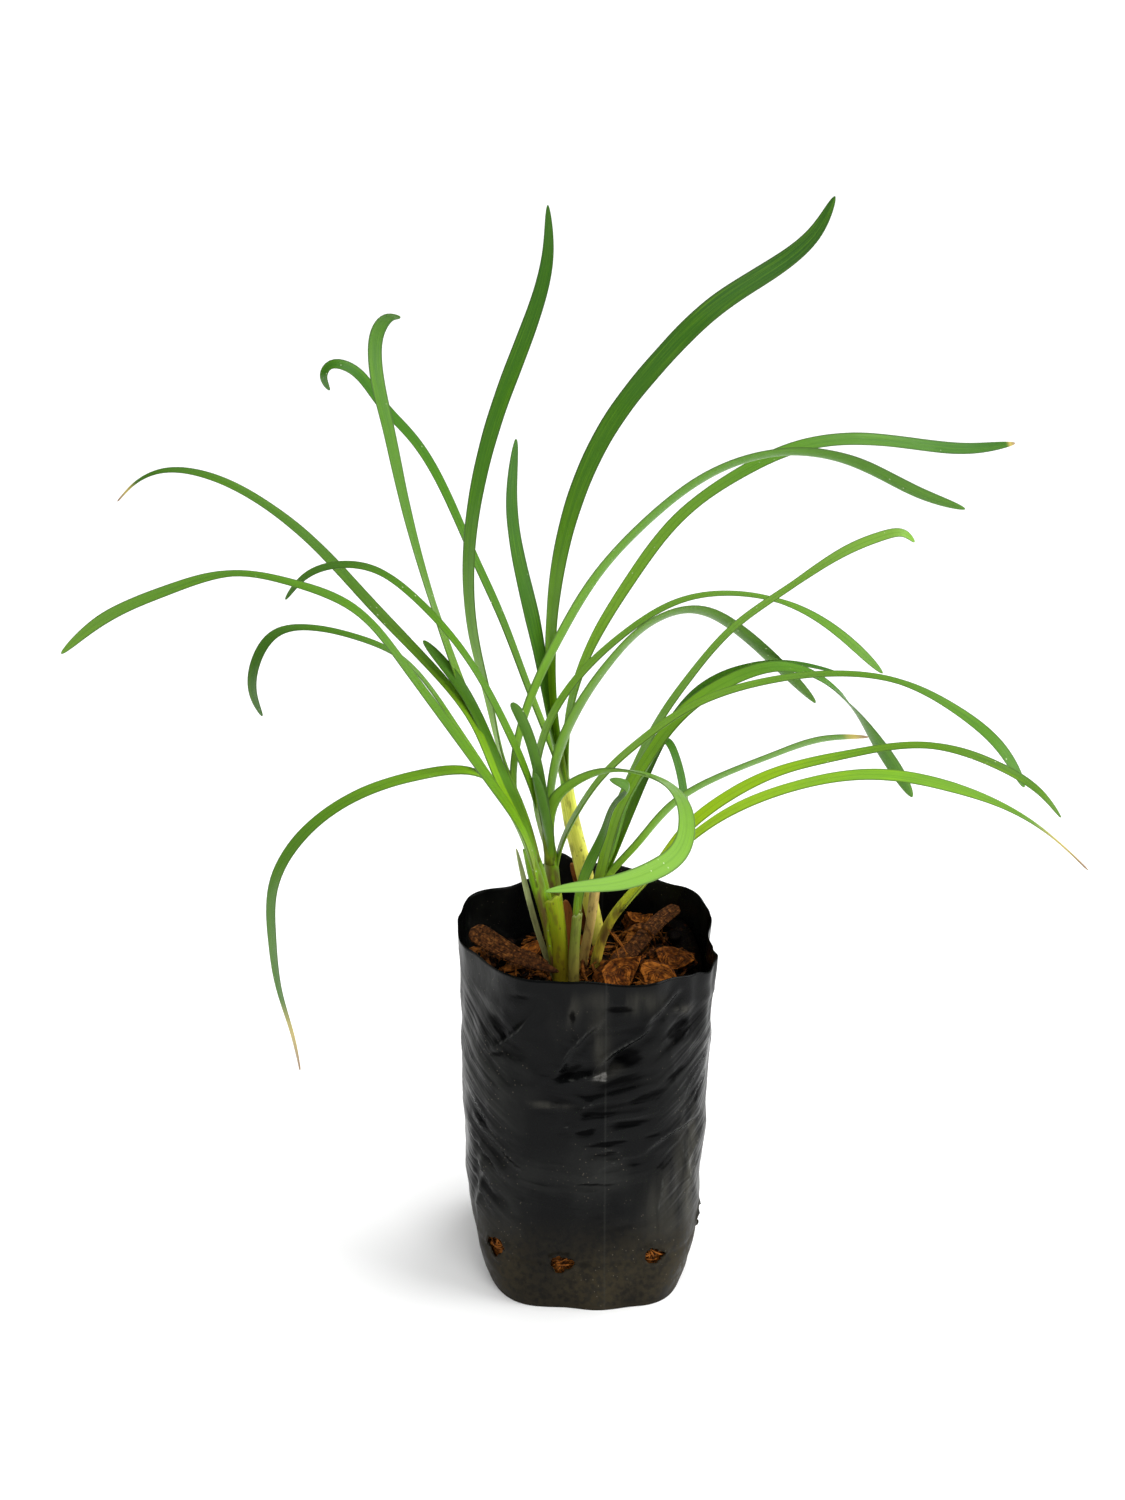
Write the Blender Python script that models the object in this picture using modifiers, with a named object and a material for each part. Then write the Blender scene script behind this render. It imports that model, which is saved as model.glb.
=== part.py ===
"""Potted society garlic: seven leafy shoots standing in a soft black grow bag of bark mix.

Lengths in this script are millimetres and angles degrees. Each mesh is turned to metres
as it is made. The origin is the middle of the bag's foot, +Z is up and the front of the
plant faces -Y. Every route of points runs from the root end to the tip.
"""

import math
import random
from dataclasses import dataclass

import bmesh
import bpy
import numpy as np
from mathutils import Euler, Matrix, Vector

MM = 0.001
PART_NAME = "potted_society_garlic"
CHIP_SEED = 11

# The grow bag
BAG_SIDES = 48
FILM = 0.8
RIM_HEIGHT = 139.0
FLAP_RISE = 7.0
FLAP_PEAK_RISE = 7.0
FLAP_MIDDLE = 88.0
FLAP_HALF_WIDTH = 32.0
FLAP_PEAK_ANGLE = 103.0
FLAP_PEAK_HALF_WIDTH = 14.0
RIM_WAVE = 0.7
RIM_WAVE_COUNT = 5
RIM_BEND_START = 100.0
DRAIN_RADIUS = 3.2
DRAIN_SIDES = 10
DRAIN_DEPTH = 8.0
DRAIN_ANGLES = (-146.0, -101.0, -60.0, -15.0, 34.0, 79.0, 120.0, 165.0)
DRAIN_HEIGHTS = (15.0, 19.0, 21.0, 20.0, 17.0, 20.0, 16.0, 19.0)

# The potting mix and what stands or lies in it
MIX_GAP = 0.5
MIX_LEVEL = 118.0
MIX_RINGS = (0.97, 0.8, 0.6, 0.4, 0.2, 0.06)
HOLE_GAP = 0.45
SEAT_GAP = 0.35
HOLE_TOP = 136.0
CHIP_COUNT = 26
CHIP_REACH = 42.0
CHIP_LENGTH = (7.0, 13.0)
CHIP_WIDTH = (4.5, 8.0)
CHIP_DEPTH = (3.2, 5.0)
CHIP_TILT = 24.0
CHIP_SINK = 0.4
CHIP_JITTER = 0.12

# The blades, stems and sheaths
BLADE_THICKNESS = 0.9
KEEL = 0.08
ROOT_SHARE = 0.62
FULL_WIDTH_AT = 0.4
TIP_START = 0.7
TIP_POWER = 2.2
TIP_ROUNDING = 0.6
TIP_WIDTH = 1.3
STEP_LENGTH = 28.0
STEP_TURN = 15.0
STEM_SIDES = 8
STEM_STEP = 9.0
SHEATH_GAP = 0.3
SHEATH_WALL = 0.7
DENSE = 240
PROBE_SHARE = 1e-4
SMOOTH_ANGLE = 40.0


@dataclass(frozen=True)
class Level:
    """One level of the bag: its height, half widths, squareness and sideways shift."""

    height: float
    half_x: float
    half_y: float
    square: float
    shift: float


@dataclass(frozen=True)
class Blade:
    """A strap leaf or sheath strip: its full width, its rolls and the route of its midline."""

    width: float
    rolls: tuple
    route: tuple


@dataclass(frozen=True)
class Shoot:
    """A stem with the leaves grown from it. A mouth is the height where its sheath ends."""

    label: str
    route: tuple
    radii: tuple
    leaves: tuple
    colour: tuple
    mouth: float = 0.0
    sheath_colour: tuple = ()


@dataclass(frozen=True)
class Chip:
    """A loose piece of bark: its middle, its size, and its turns about X, Y and Z."""

    label: str
    middle: tuple
    size: tuple
    turns: tuple


@dataclass(frozen=True)
class Mound:
    """A rise or hollow in the top of the mix: its middle, its rise and its spread."""

    x: float
    y: float
    rise: float
    spread: float


BAG_LEVELS = (
    Level(0.0, 40.5, 47.0, 3.0, 1.5),
    Level(4.0, 42.8, 48.2, 3.0, 1.3),
    Level(12.0, 44.8, 48.4, 3.0, 0.6),
    Level(25.0, 46.6, 48.0, 3.0, 0.2),
    Level(60.0, 47.0, 47.2, 3.0, 0.0),
    Level(100.0, 48.0, 48.0, 3.0, 0.0),
    Level(120.0, 48.6, 48.6, 3.1, 0.0),
    Level(131.0, 49.1, 49.1, 3.1, 0.0),
    Level(RIM_HEIGHT, 49.5, 49.5, 3.1, 0.0),
)
DRAIN_LEVEL = BAG_LEVELS[3]
FILL_LEVEL = BAG_LEVELS[6]

MOUNDS = (
    Mound(-41.0, -4.0, 12.0, 9.0),
    Mound(-27.0, -13.0, 8.0, 8.0),
    Mound(-14.0, -21.0, 6.0, 8.0),
    Mound(38.0, 34.0, 10.0, 9.0),
    Mound(24.0, 13.0, 6.0, 9.0),
    Mound(14.0, -20.0, 6.0, 9.0),
    Mound(29.0, -21.0, 6.0, 9.0),
    Mound(34.0, -1.0, 5.0, 9.0),
    Mound(-24.0, 24.0, -5.0, 11.0),
)

FRESH_GREEN = (0.16, 0.34, 0.05)
DEEP_GREEN = (0.07, 0.22, 0.07)
YELLOW_GREEN = (0.36, 0.42, 0.06)
PALE_SHEATH = (0.45, 0.48, 0.25)
GREY_SHEATH = (0.42, 0.45, 0.33)
YELLOW_SHEATH = (0.52, 0.50, 0.14)
TAN_SHEATH = (0.42, 0.30, 0.13)
DRY_BROWN = (0.13, 0.06, 0.03)
BARK_BROWN = (0.16, 0.08, 0.04)
HUSK_TAN = (0.33, 0.19, 0.10)
SOIL_BROWN = (0.05, 0.03, 0.02)
FILM_BLACK = (0.015, 0.015, 0.016)

SHOOTS = (
    Shoot(
        "front",
        ((-6, -10, 93), (-9, -10, 118), (-11, -10, 138), (-13, -9, 154), (-17, -9, 166), (-20, -9, 176)),
        (2.9, 2.9, 3.0, 3.3, 3.0, 1.6),
        (
            Blade(
                6.5,
                (-7, -3, -7, -5),
                (
                    (-16, -9, 162),
                    (-24, -8, 184),
                    (-42, 4, 223),
                    (-82, 26, 264),
                    (-124, 46, 298),
                    (-164, 57, 307),
                    (-181, 58, 295),
                ),
            ),
            Blade(
                7.0,
                (25, 12, 5, 20),
                (
                    (-16, -10, 162),
                    (-23, -14, 184),
                    (-33, -20, 205),
                    (-66, -38, 262),
                    (-102, -58, 297),
                    (-141, -78, 300),
                    (-175, -90, 282),
                ),
            ),
            Blade(
                6.5,
                (0, -3, -7, -8),
                (
                    (-16, -10, 162),
                    (-24, -10, 183),
                    (-50, -12, 231),
                    (-83, -26, 267),
                    (-110, -42, 273),
                    (-117, -52, 255),
                    (-114, -54, 247),
                ),
            ),
            Blade(
                7.0,
                (-15, -25, -15, 5),
                (
                    (-16, -8, 162),
                    (-23, -4, 181),
                    (-39, 8, 216),
                    (-60, 20, 274),
                    (-74, 30, 334),
                    (-76, 35, 368),
                    (-68, 33, 372),
                ),
            ),
            Blade(
                7.0,
                (8, -3, -8, -17),
                (
                    (-16, -7, 162),
                    (-24, -5, 182),
                    (-40, -12, 209),
                    (-61, -24, 213),
                    (-82, -38, 211),
                    (-101, -50, 200),
                    (-113, -62, 165),
                    (-105, -63, 111),
                ),
            ),
            Blade(
                6.0,
                (0, 0, 0, 15),
                ((-16, -7, 163), (-22, -3, 180), (-32, 3, 204), (-47, 9, 236), (-61, 13, 253)),
            ),
        ),
        FRESH_GREEN,
        155.0,
        PALE_SHEATH,
    ),
    Shoot(
        "slim",
        ((-9, 2, 93), (-11, 3, 120), (-14, 3, 147), (-17, 3, 162), (-21, 4, 178), (-22, 6, 187)),
        (1.7, 1.7, 1.8, 1.9, 1.7, 1.0),
        (
            Blade(
                8.0,
                (60, 38, 24, 5),
                (
                    (-18, 3, 166),
                    (-25, 8, 189),
                    (-36, 17, 225),
                    (-44, 27, 275),
                    (-40, 33, 309),
                    (-20, 45, 369),
                    (-14, 51, 410),
                ),
            ),
            Blade(
                7.0,
                (20, 26, 30, 60),
                (
                    (-18, 3, 166),
                    (-27, 9, 191),
                    (-25, 15, 215),
                    (-10, 12, 254),
                    (23, 5, 302),
                    (76, -6, 331),
                    (118, -18, 318),
                    (134, -21, 313),
                ),
            ),
        ),
        DEEP_GREEN,
    ),
    Shoot(
        "centre",
        ((-5, 13, 93), (-7, 13, 121), (-11, 12, 145), (-13, 12, 162), (-14, 11, 176)),
        (2.7, 2.7, 2.8, 2.9, 1.5),
        (
            Blade(
                6.0,
                (5, 0, 0, 8),
                (
                    (-14, 12, 162),
                    (-19, 11, 188),
                    (-30, 6, 220),
                    (-51, 6, 257),
                    (-78, 14, 279),
                    (-105, 20, 275),
                    (-113, 20, 266),
                ),
            ),
            Blade(
                6.5,
                (5, 8, 8, -45),
                (
                    (-13, 11, 163),
                    (-19, 10, 193),
                    (-13, 18, 219),
                    (15, 35, 246),
                    (58, 48, 258),
                    (100, 57, 239),
                    (119, 60, 222),
                ),
            ),
            Blade(6.0, (20, 16, 5, 0), ((-13, 10, 162), (-17, 3, 198), (-23, -3, 224), (-27, -6, 234))),
            Blade(5.5, (17, 17, 17, 17), ((-13, 10, 164), (-14, 3, 178), (-19, -4, 205))),
            Blade(
                7.5,
                (-12, -3, 5, -45),
                (
                    (-13, 12, 161),
                    (-13, 14, 191),
                    (-3, 19, 222),
                    (25, 25, 255),
                    (59, 34, 249),
                    (90, 37, 218),
                ),
            ),
            Blade(
                6.5,
                (-20, -8, 6, -20),
                (
                    (-12, 13, 152),
                    (-10, 12, 166),
                    (6, 4, 200),
                    (42, -9, 235),
                    (92, -20, 250),
                    (134, -33, 240),
                    (158, -41, 214),
                ),
            ),
            Blade(
                9.0,
                (10, 17, 38, 20),
                (
                    (-13, 10, 162),
                    (-12, 4, 190),
                    (7, -14, 210),
                    (30, -54, 219),
                    (34, -82, 218),
                    (20, -120, 215),
                    (-6, -144, 220),
                    (-14, -149, 221),
                ),
            ),
        ),
        FRESH_GREEN,
    ),
    Shoot(
        "rear",
        ((8, 32, 93), (6, 32, 118), (3, 32, 134), (0, 32, 150), (-5, 33, 171), (-8, 35, 190), (-9, 35, 197)),
        (2.4, 2.4, 2.5, 3.0, 2.7, 2.4, 1.6),
        (
            Blade(
                9.0,
                (8, 4, -20, -50),
                (
                    (-7, 34, 185),
                    (-13, 38, 240),
                    (-4, 48, 297),
                    (29, 64, 350),
                    (74, 77, 384),
                    (95, 82, 409),
                ),
            ),
            Blade(
                7.5,
                (5, 15, 37, 32),
                ((-8, 35, 185), (-13, 35, 210), (-20, 36, 253), (-28, 36, 300), (-26, 35, 325)),
            ),
            Blade(
                6.5,
                (-10, -8, -4, 12),
                (
                    (-7, 35, 185),
                    (-12, 39, 197),
                    (-23, 44, 226),
                    (-43, 53, 274),
                    (-79, 64, 334),
                    (-98, 67, 347),
                    (-98, 65, 338),
                ),
            ),
            Blade(
                7.5,
                (5, 0, -3, -40),
                (
                    (-7, 34, 185),
                    (-7, 36, 204),
                    (4, 45, 243),
                    (37, 60, 288),
                    (84, 73, 313),
                    (132, 80, 312),
                    (170, 83, 312),
                ),
            ),
        ),
        DEEP_GREEN,
        182.0,
        YELLOW_SHEATH,
    ),
    Shoot(
        "tan",
        ((-3, 6, 93), (-1, 5, 120), (2, 5, 137), (4, 7, 150), (6, 8, 157), (9, 8, 164)),
        (1.6, 1.6, 1.6, 1.7, 1.7, 1.0),
        (
            Blade(
                6.5,
                (-7, -2, 3, -25),
                (
                    (5, 8, 153),
                    (13, 10, 187),
                    (27, 12, 218),
                    (56, 14, 257),
                    (97, 16, 286),
                    (118, 15, 293),
                    (122, 14, 290),
                ),
            ),
            Blade(
                8.0,
                (-40, -17, -5, 45),
                (
                    (5, 7, 153),
                    (14, 3, 190),
                    (37, 3, 227),
                    (73, 6, 244),
                    (100, 10, 228),
                    (123, 12, 194),
                    (126, 12, 189),
                ),
            ),
            Blade(
                7.0,
                (-5, -5, 8, 15),
                ((6, 8, 154), (17, 14, 181), (32, 20, 214), (61, 26, 237), (97, 29, 234)),
            ),
            Blade(
                5.5,
                (25, 22, 28, 40),
                ((6, 7, 153), (19, 3, 172), (33, -3, 192), (70, -18, 218), (102, -32, 230)),
            ),
            Blade(
                5.0,
                (25, 22, 20, 5),
                ((5, 8, 153), (17, 12, 188), (25, 13, 203), (31, 12, 212), (35, 9, 205), (38, 2, 183)),
            ),
        ),
        DEEP_GREEN,
        150.0,
        TAN_SHEATH,
    ),
    Shoot(
        "yellow",
        ((3, 1, 93), (4, 1, 121), (8, 0, 138), (14, -3, 150), (19, -6, 158), (22, -8, 163)),
        (2.3, 2.3, 2.3, 2.3, 1.9, 1.1),
        (
            Blade(
                7.0,
                (-45, -28, 0, -5),
                (
                    (14, -3, 150),
                    (24, -8, 164),
                    (49, -26, 202),
                    (93, -50, 230),
                    (143, -70, 233),
                    (164, -77, 217),
                ),
            ),
            Blade(
                7.0,
                (-28, -20, -8, 27),
                (
                    (14, -4, 149),
                    (24, -12, 166),
                    (52, -38, 203),
                    (102, -70, 230),
                    (146, -94, 225),
                    (169, -102, 208),
                ),
            ),
        ),
        YELLOW_GREEN,
    ),
    Shoot(
        "small",
        ((-3, -18, 93), (-4, -16, 118), (-4, -14, 136), (-3, -12, 148), (-2, -10, 157)),
        (1.4, 1.4, 1.4, 1.4, 0.9),
        (
            Blade(
                7.0,
                (-35, -25, -5, 10),
                ((-3, -12, 149), (2, -8, 170), (11, -7, 195), (16, -9, 201), (13, -11, 204), (9, -13, 206)),
            ),
        ),
        YELLOW_GREEN,
        146.0,
        PALE_SHEATH,
    ),
)

STRIPS = {
    "sheath_outer": (
        Blade(
            4.2,
            (-35, -35, -35, -35),
            (
                (-12, -13, 104),
                (-13, -13, 118),
                (-15, -13, 138),
                (-18, -12, 154),
                (-22, -13, 166),
                (-25, -13, 176),
            ),
        ),
        GREY_SHEATH,
    ),
    "dry_sheath_middle": (
        Blade(4.5, (10, 10, 10, 10), ((-4, -5, 105), (-3, -4, 119), (-2, -3, 134), (-3, -2, 142))),
        DRY_BROWN,
    ),
    "dry_sheath_rear": (
        Blade(5.0, (0, 0, 0, 0), ((2, 40, 106), (1, 40, 120), (-1, 40, 136), (-5, 41, 149))),
        DRY_BROWN,
    ),
    "husk_strip_left": (
        Blade(7.0, (10, 10, 10, 10), ((-43, -2, 136), (-36, -9, 133), (-27, -13, 130), (-15, -20, 127))),
        HUSK_TAN,
    ),
    "husk_strip_right": (
        Blade(6.0, (-10, -10, -10, -10), ((38, 33, 131), (31, 25, 129), (22, 12, 127), (12, 5, 124))),
        HUSK_TAN,
    ),
}

CHIPS = (
    Chip("a", (14, -20, 127), (14, 11, 5), (18, -14, 35)),
    Chip("b", (30, -22, 126), (13, 8, 5), (12, 10, -20)),
    Chip("c", (35, -2, 125), (13, 9, 5), (10, 16, 65)),
    Chip("d", (22, 39, 124), (12, 8, 5), (-14, 8, 15)),
    Chip("e", (-21, 27, 116), (12, 8, 5), (12, -10, 40)),
    Chip("f", (-27, 6, 122), (11, 8, 5), (14, 8, -30)),
)
CHIP_BEVEL = 0.8


def clear_scene():
    """Removes every object the scene starts with."""
    for item in list(bpy.data.objects):
        bpy.data.objects.remove(item, do_unlink=True)


def smoothstep(value):
    """Eases from 0 to 1."""
    x = np.clip(value, 0.0, 1.0)
    return x * x * (3.0 - 2.0 * x)


def natural_spline(knots, values, at):
    """Reads the natural cubic curve through values at the knots."""
    count = len(knots)
    values = np.asarray(values, float)
    gaps = np.diff(knots)
    system = np.eye(count)
    right = np.zeros_like(values)
    for i in range(1, count - 1):
        system[i, i - 1 : i + 2] = gaps[i - 1], 2.0 * (gaps[i - 1] + gaps[i]), gaps[i]
        step = (values[i + 1] - values[i]) / gaps[i]
        right[i] = 6.0 * (step - (values[i] - values[i - 1]) / gaps[i - 1])
    bend = np.linalg.solve(system, right)
    span = np.clip(np.searchsorted(knots, at) - 1, 0, count - 2)
    gap = gaps[span][:, None]
    b = (at - knots[span])[:, None] / gap
    a = 1.0 - b
    cubic = ((a**3 - a) * bend[span] + (b**3 - b) * bend[span + 1]) * gap**2 / 6.0
    return a * values[span] + b * values[span + 1] + cubic


def sample_route(route, shares):
    """Gives points and directions on the curve through a route at shares of its length."""
    points = np.asarray(route, float)
    knots = np.r_[0.0, np.cumsum(np.linalg.norm(np.diff(points, axis=0), axis=1))]
    at = np.asarray(shares) * knots[-1]
    small = knots[-1] * PROBE_SHARE
    low = np.clip(at - small, 0.0, knots[-1])
    high = np.clip(at + small, 0.0, knots[-1])
    along = natural_spline(knots, points, high) - natural_spline(knots, points, low)
    along /= np.linalg.norm(along, axis=1)[:, None]
    return natural_spline(knots, points, at), along


def blade_shares(route):
    """Shares of the length, closer together where the blade turns more."""
    shares = np.linspace(0.0, 1.0, DENSE)
    points, along = sample_route(route, shares)
    lengths = np.linalg.norm(np.diff(points, axis=0), axis=1)
    turns = np.degrees(np.arccos(np.clip((along[1:] * along[:-1]).sum(1), -1.0, 1.0)))
    cost = np.r_[0.0, np.cumsum(lengths / STEP_LENGTH + turns / STEP_TURN)]
    return np.interp(np.linspace(0.0, cost[-1], math.ceil(cost[-1]) + 1), cost, shares)


def blade_frames(along, rolls, shares):
    """Carries a side direction along the blade without twist, then rolls it."""
    middle = len(along) // 2
    sides = np.zeros_like(along)
    sides[middle] = np.cross(along[middle], (0.0, 0.0, 1.0))
    sides[middle] /= np.linalg.norm(sides[middle])
    for order in (range(middle + 1, len(along)), range(middle - 1, -1, -1)):
        last = sides[middle]
        for i in order:
            last = last - along[i] * (last @ along[i])
            last = last / np.linalg.norm(last)
            sides[i] = last
    ups = np.cross(sides, along)
    roll = np.radians(np.interp(shares, np.linspace(0.0, 1.0, len(rolls)), rolls))[:, None]
    return sides * np.cos(roll) + ups * np.sin(roll), ups * np.cos(roll) - sides * np.sin(roll)


def blade_width(shares):
    """Share of the full width: narrow at the root, full by the middle, tapered to the tip."""
    body = ROOT_SHARE + (1.0 - ROOT_SHARE) * smoothstep(shares / FULL_WIDTH_AT)
    tip = np.clip((shares - TIP_START) / (1.0 - TIP_START), 0.0, 1.0)
    return body * np.clip(1.0 - tip**TIP_POWER, 0.0, 1.0) ** TIP_ROUNDING


def blade_rings(blade, grow=0.0):
    """Six-cornered sections of a blade, channelled along the middle."""
    shares = blade_shares(blade.route)
    points, along = sample_route(blade.route, shares)
    sides, ups = blade_frames(along, blade.rolls, shares)
    half = np.maximum(blade.width * blade_width(shares), TIP_WIDTH) / 2.0
    keel = half * 2.0 * KEEL
    thick = BLADE_THICKNESS / 2.0 + grow
    flat = np.zeros_like(half)
    corners = (
        (-half - grow, flat + thick),
        (flat, thick - keel),
        (half + grow, flat + thick),
        (half + grow, flat - thick),
        (flat, -thick - keel),
        (-half - grow, flat - thick),
    )
    rings = np.stack([points + x[:, None] * sides + y[:, None] * ups for x, y in corners], axis=1)
    if grow:
        rings[0] -= along[0] * grow
        rings[-1] += along[-1] * grow
    return rings


def blade_mesh(name, rings):
    """Closed blade, its two faces split into triangles alike."""
    faces = []
    count = rings.shape[1]
    for i in range(len(rings) - 1):
        for j in range(count):
            a, b = i * count + j, i * count + (j + 1) % count
            c, d = a + count, b + count
            if j < count // 2:
                faces += [(a, b, d), (a, d, c)]
            else:
                faces += [(a, b, c), (b, d, c)]
    last = (len(rings) - 1) * count
    faces += [(5, 4, 1, 0), (4, 3, 2, 1)]
    faces += [(last, last + 1, last + 4, last + 5), (last + 1, last + 2, last + 3, last + 4)]
    return mesh_from(name, rings.reshape(-1, 3), faces)


def loft_mesh(name, rings, close_start=True, close_end=True):
    """Four-sided faces through rings of equal count, with an optional cap at each end."""
    count = rings.shape[1]
    faces = []
    for i in range(len(rings) - 1):
        for j in range(count):
            a, b = i * count + j, i * count + (j + 1) % count
            faces.append((a, b, b + count, a + count))
    last = (len(rings) - 1) * count
    if close_start:
        faces.append(tuple(reversed(range(count))))
    if close_end:
        faces.append(tuple(range(last, last + count)))
    return mesh_from(name, rings.reshape(-1, 3), faces)


def mesh_from(name, points, faces):
    """Makes a mesh in metres with its normals outward."""
    mesh = bpy.data.meshes.new(name)
    mesh.from_pydata((np.asarray(points) * MM).tolist(), [], faces)
    work = bmesh.new()
    work.from_mesh(mesh)
    bmesh.ops.recalc_face_normals(work, faces=work.faces[:])
    work.to_mesh(mesh)
    work.free()
    return mesh


def stem_rings(shoot, extra=0.0):
    """Round sections of a stem, at even steps along its route."""
    points = np.asarray(shoot.route, float)
    knots = np.r_[0.0, np.cumsum(np.linalg.norm(np.diff(points, axis=0), axis=1))]
    shares = np.linspace(0.0, 1.0, round(knots[-1] / STEM_STEP) + 1)
    middles, along = sample_route(shoot.route, shares)
    radii = np.interp(shares * knots[-1], knots, shoot.radii) + extra
    across = np.array((1.0, 0.0, 0.0)) - along * along[:, :1]
    across /= np.linalg.norm(across, axis=1)[:, None]
    beyond = np.cross(along, across)
    turn = np.linspace(0.0, 2.0 * math.pi, STEM_SIDES, endpoint=False)[None, :, None]
    ring = across[:, None] * np.cos(turn) + beyond[:, None] * np.sin(turn)
    return middles[:, None] + ring * radii[:, None, None], middles, along


def link(name, mesh, collection):
    """Puts a mesh in the scene as a named object."""
    item = bpy.data.objects.new(name, mesh)
    collection.objects.link(item)
    return item


def paint(item, colour, roughness):
    """Gives an object its own material."""
    material = bpy.data.materials.new("mat_" + item.name)
    material.use_nodes = True
    shader = material.node_tree.nodes["Principled BSDF"]
    shader.inputs["Base Color"].default_value = (*colour, 1.0)
    shader.inputs["Roughness"].default_value = roughness
    item.data.materials.clear()
    item.data.materials.append(material)


def bake(item):
    """Turns an object's modifiers into its own mesh."""
    graph = bpy.context.evaluated_depsgraph_get()
    mesh = bpy.data.meshes.new_from_object(item.evaluated_get(graph))
    item.modifiers.clear()
    item.data = mesh


def add_boolean(item, operation, collection):
    """Adds an exact Boolean against every object of a collection."""
    cut = item.modifiers.new(operation.lower(), "BOOLEAN")
    cut.operation = operation
    cut.operand_type = "COLLECTION"
    cut.collection = collection
    cut.solver = "EXACT"


def keep_largest_body(item):
    """Fills sealed hollows and drops loose scraps by keeping the one largest body."""
    work = bmesh.new()
    work.from_mesh(item.data)
    unseen = set(work.faces)
    bodies = []
    while unseen:
        queue = [unseen.pop()]
        body = list(queue)
        while queue:
            for edge in queue.pop().edges:
                for face in edge.link_faces:
                    if face in unseen:
                        unseen.remove(face)
                        queue.append(face)
                        body.append(face)
        bodies.append(body)
    largest = max(bodies, key=lambda body: sum(face.calc_area() for face in body))
    kept = set(largest)
    spare = [face for face in work.faces if face not in kept]
    bmesh.ops.delete(work, geom=spare, context="FACES")
    work.to_mesh(item.data)
    work.free()


def unite(item, pieces):
    """Fuses the pieces of a collection into an object and removes them."""
    add_boolean(item, "UNION", pieces)
    bake(item)
    for piece in list(pieces.objects):
        bpy.data.objects.remove(piece, do_unlink=True)
    bpy.data.collections.remove(pieces)
    keep_largest_body(item)


def smooth(item):
    """Shades an object smooth, with its sharper edges kept."""
    item.data.shade_smooth()
    item.data.set_sharp_from_angle(angle=math.radians(SMOOTH_ANGLE))


def new_collection(name, cutters=False):
    """Makes a collection in the scene."""
    collection = bpy.data.collections.new(name)
    bpy.context.scene.collection.children.link(collection)
    collection.hide_render = cutters
    return collection


def add_cutter(name, mesh, cutters):
    """Puts a cutting shape in its collection, shown as wire and kept out of the render."""
    item = link(name, mesh, cutters)
    item.display_type = "WIRE"
    item.hide_render = True
    return item


def near_angle(angles, middle, half_width):
    """A smooth hump of height 1 about one angle, in degrees round the bag."""
    off = (angles - middle + 180.0) % 360.0 - 180.0
    return 1.0 - smoothstep(np.abs(off) / half_width)


def bag_ring(level, inset=0.0):
    """Points of one level of the bag: a rounded square that waves and rises at the rim."""
    turn = np.linspace(0.0, 2.0 * math.pi, BAG_SIDES, endpoint=False)
    power = 2.0 / level.square
    x = np.sign(np.cos(turn)) * np.abs(np.cos(turn)) ** power
    y = np.sign(np.sin(turn)) * np.abs(np.sin(turn)) ** power
    bend = max(level.height - RIM_BEND_START, 0.0) / (RIM_HEIGHT - RIM_BEND_START)
    wave = RIM_WAVE * bend * np.cos(RIM_WAVE_COUNT * turn)
    angles = np.degrees(turn)
    rise = FLAP_RISE * near_angle(angles, FLAP_MIDDLE, FLAP_HALF_WIDTH)
    rise += FLAP_PEAK_RISE * near_angle(angles, FLAP_PEAK_ANGLE, FLAP_PEAK_HALF_WIDTH)
    ring = (
        (level.half_x + wave - inset) * x + level.shift,
        (level.half_y + wave - inset) * y,
        level.height + rise * bend**2,
    )
    return np.stack(ring, axis=1)


def make_bag(collection, cutters):
    """The grow bag: an open film given its thickness, with drain holes near the foot."""
    rings = np.stack([bag_ring(level) for level in BAG_LEVELS])
    bag = link("grow_bag", loft_mesh("grow_bag", rings, close_end=False), collection)
    film = bag.modifiers.new("film", "SOLIDIFY")
    film.thickness = FILM * MM
    film.offset = -1.0
    film.use_even_offset = True
    for i, (angle, height) in enumerate(zip(DRAIN_ANGLES, DRAIN_HEIGHTS)):
        work = bmesh.new()
        bmesh.ops.create_cone(
            work,
            cap_ends=True,
            segments=DRAIN_SIDES,
            radius1=DRAIN_RADIUS * MM,
            radius2=DRAIN_RADIUS * MM,
            depth=2.0 * DRAIN_DEPTH * MM,
        )
        turn = math.radians(angle)
        away = Vector((math.cos(turn), math.sin(turn), 0.0))
        spread = (np.abs((away.x, away.y)) ** DRAIN_LEVEL.square).sum()
        reach = DRAIN_LEVEL.half_x / spread ** (1.0 / DRAIN_LEVEL.square)
        place = Matrix.Translation((away * reach + Vector((0.0, 0.0, height))) * MM)
        work.transform(place @ away.to_track_quat("Z", "Y").to_matrix().to_4x4())
        mesh = bpy.data.meshes.new("drain_%d" % i)
        work.to_mesh(mesh)
        work.free()
        add_cutter(mesh.name, mesh, cutters)
    add_boolean(bag, "DIFFERENCE", cutters)
    paint(bag, FILM_BLACK, 0.45)
    smooth(bag)
    return bag


def mix_height(x, y):
    """Height of the top of the mix over a point of its plan."""
    height = np.full_like(x, MIX_LEVEL)
    for mound in MOUNDS:
        off = (x - mound.x) ** 2 + (y - mound.y) ** 2
        height = height + mound.rise * np.exp(-off / (2.0 * mound.spread**2))
    return height


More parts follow.
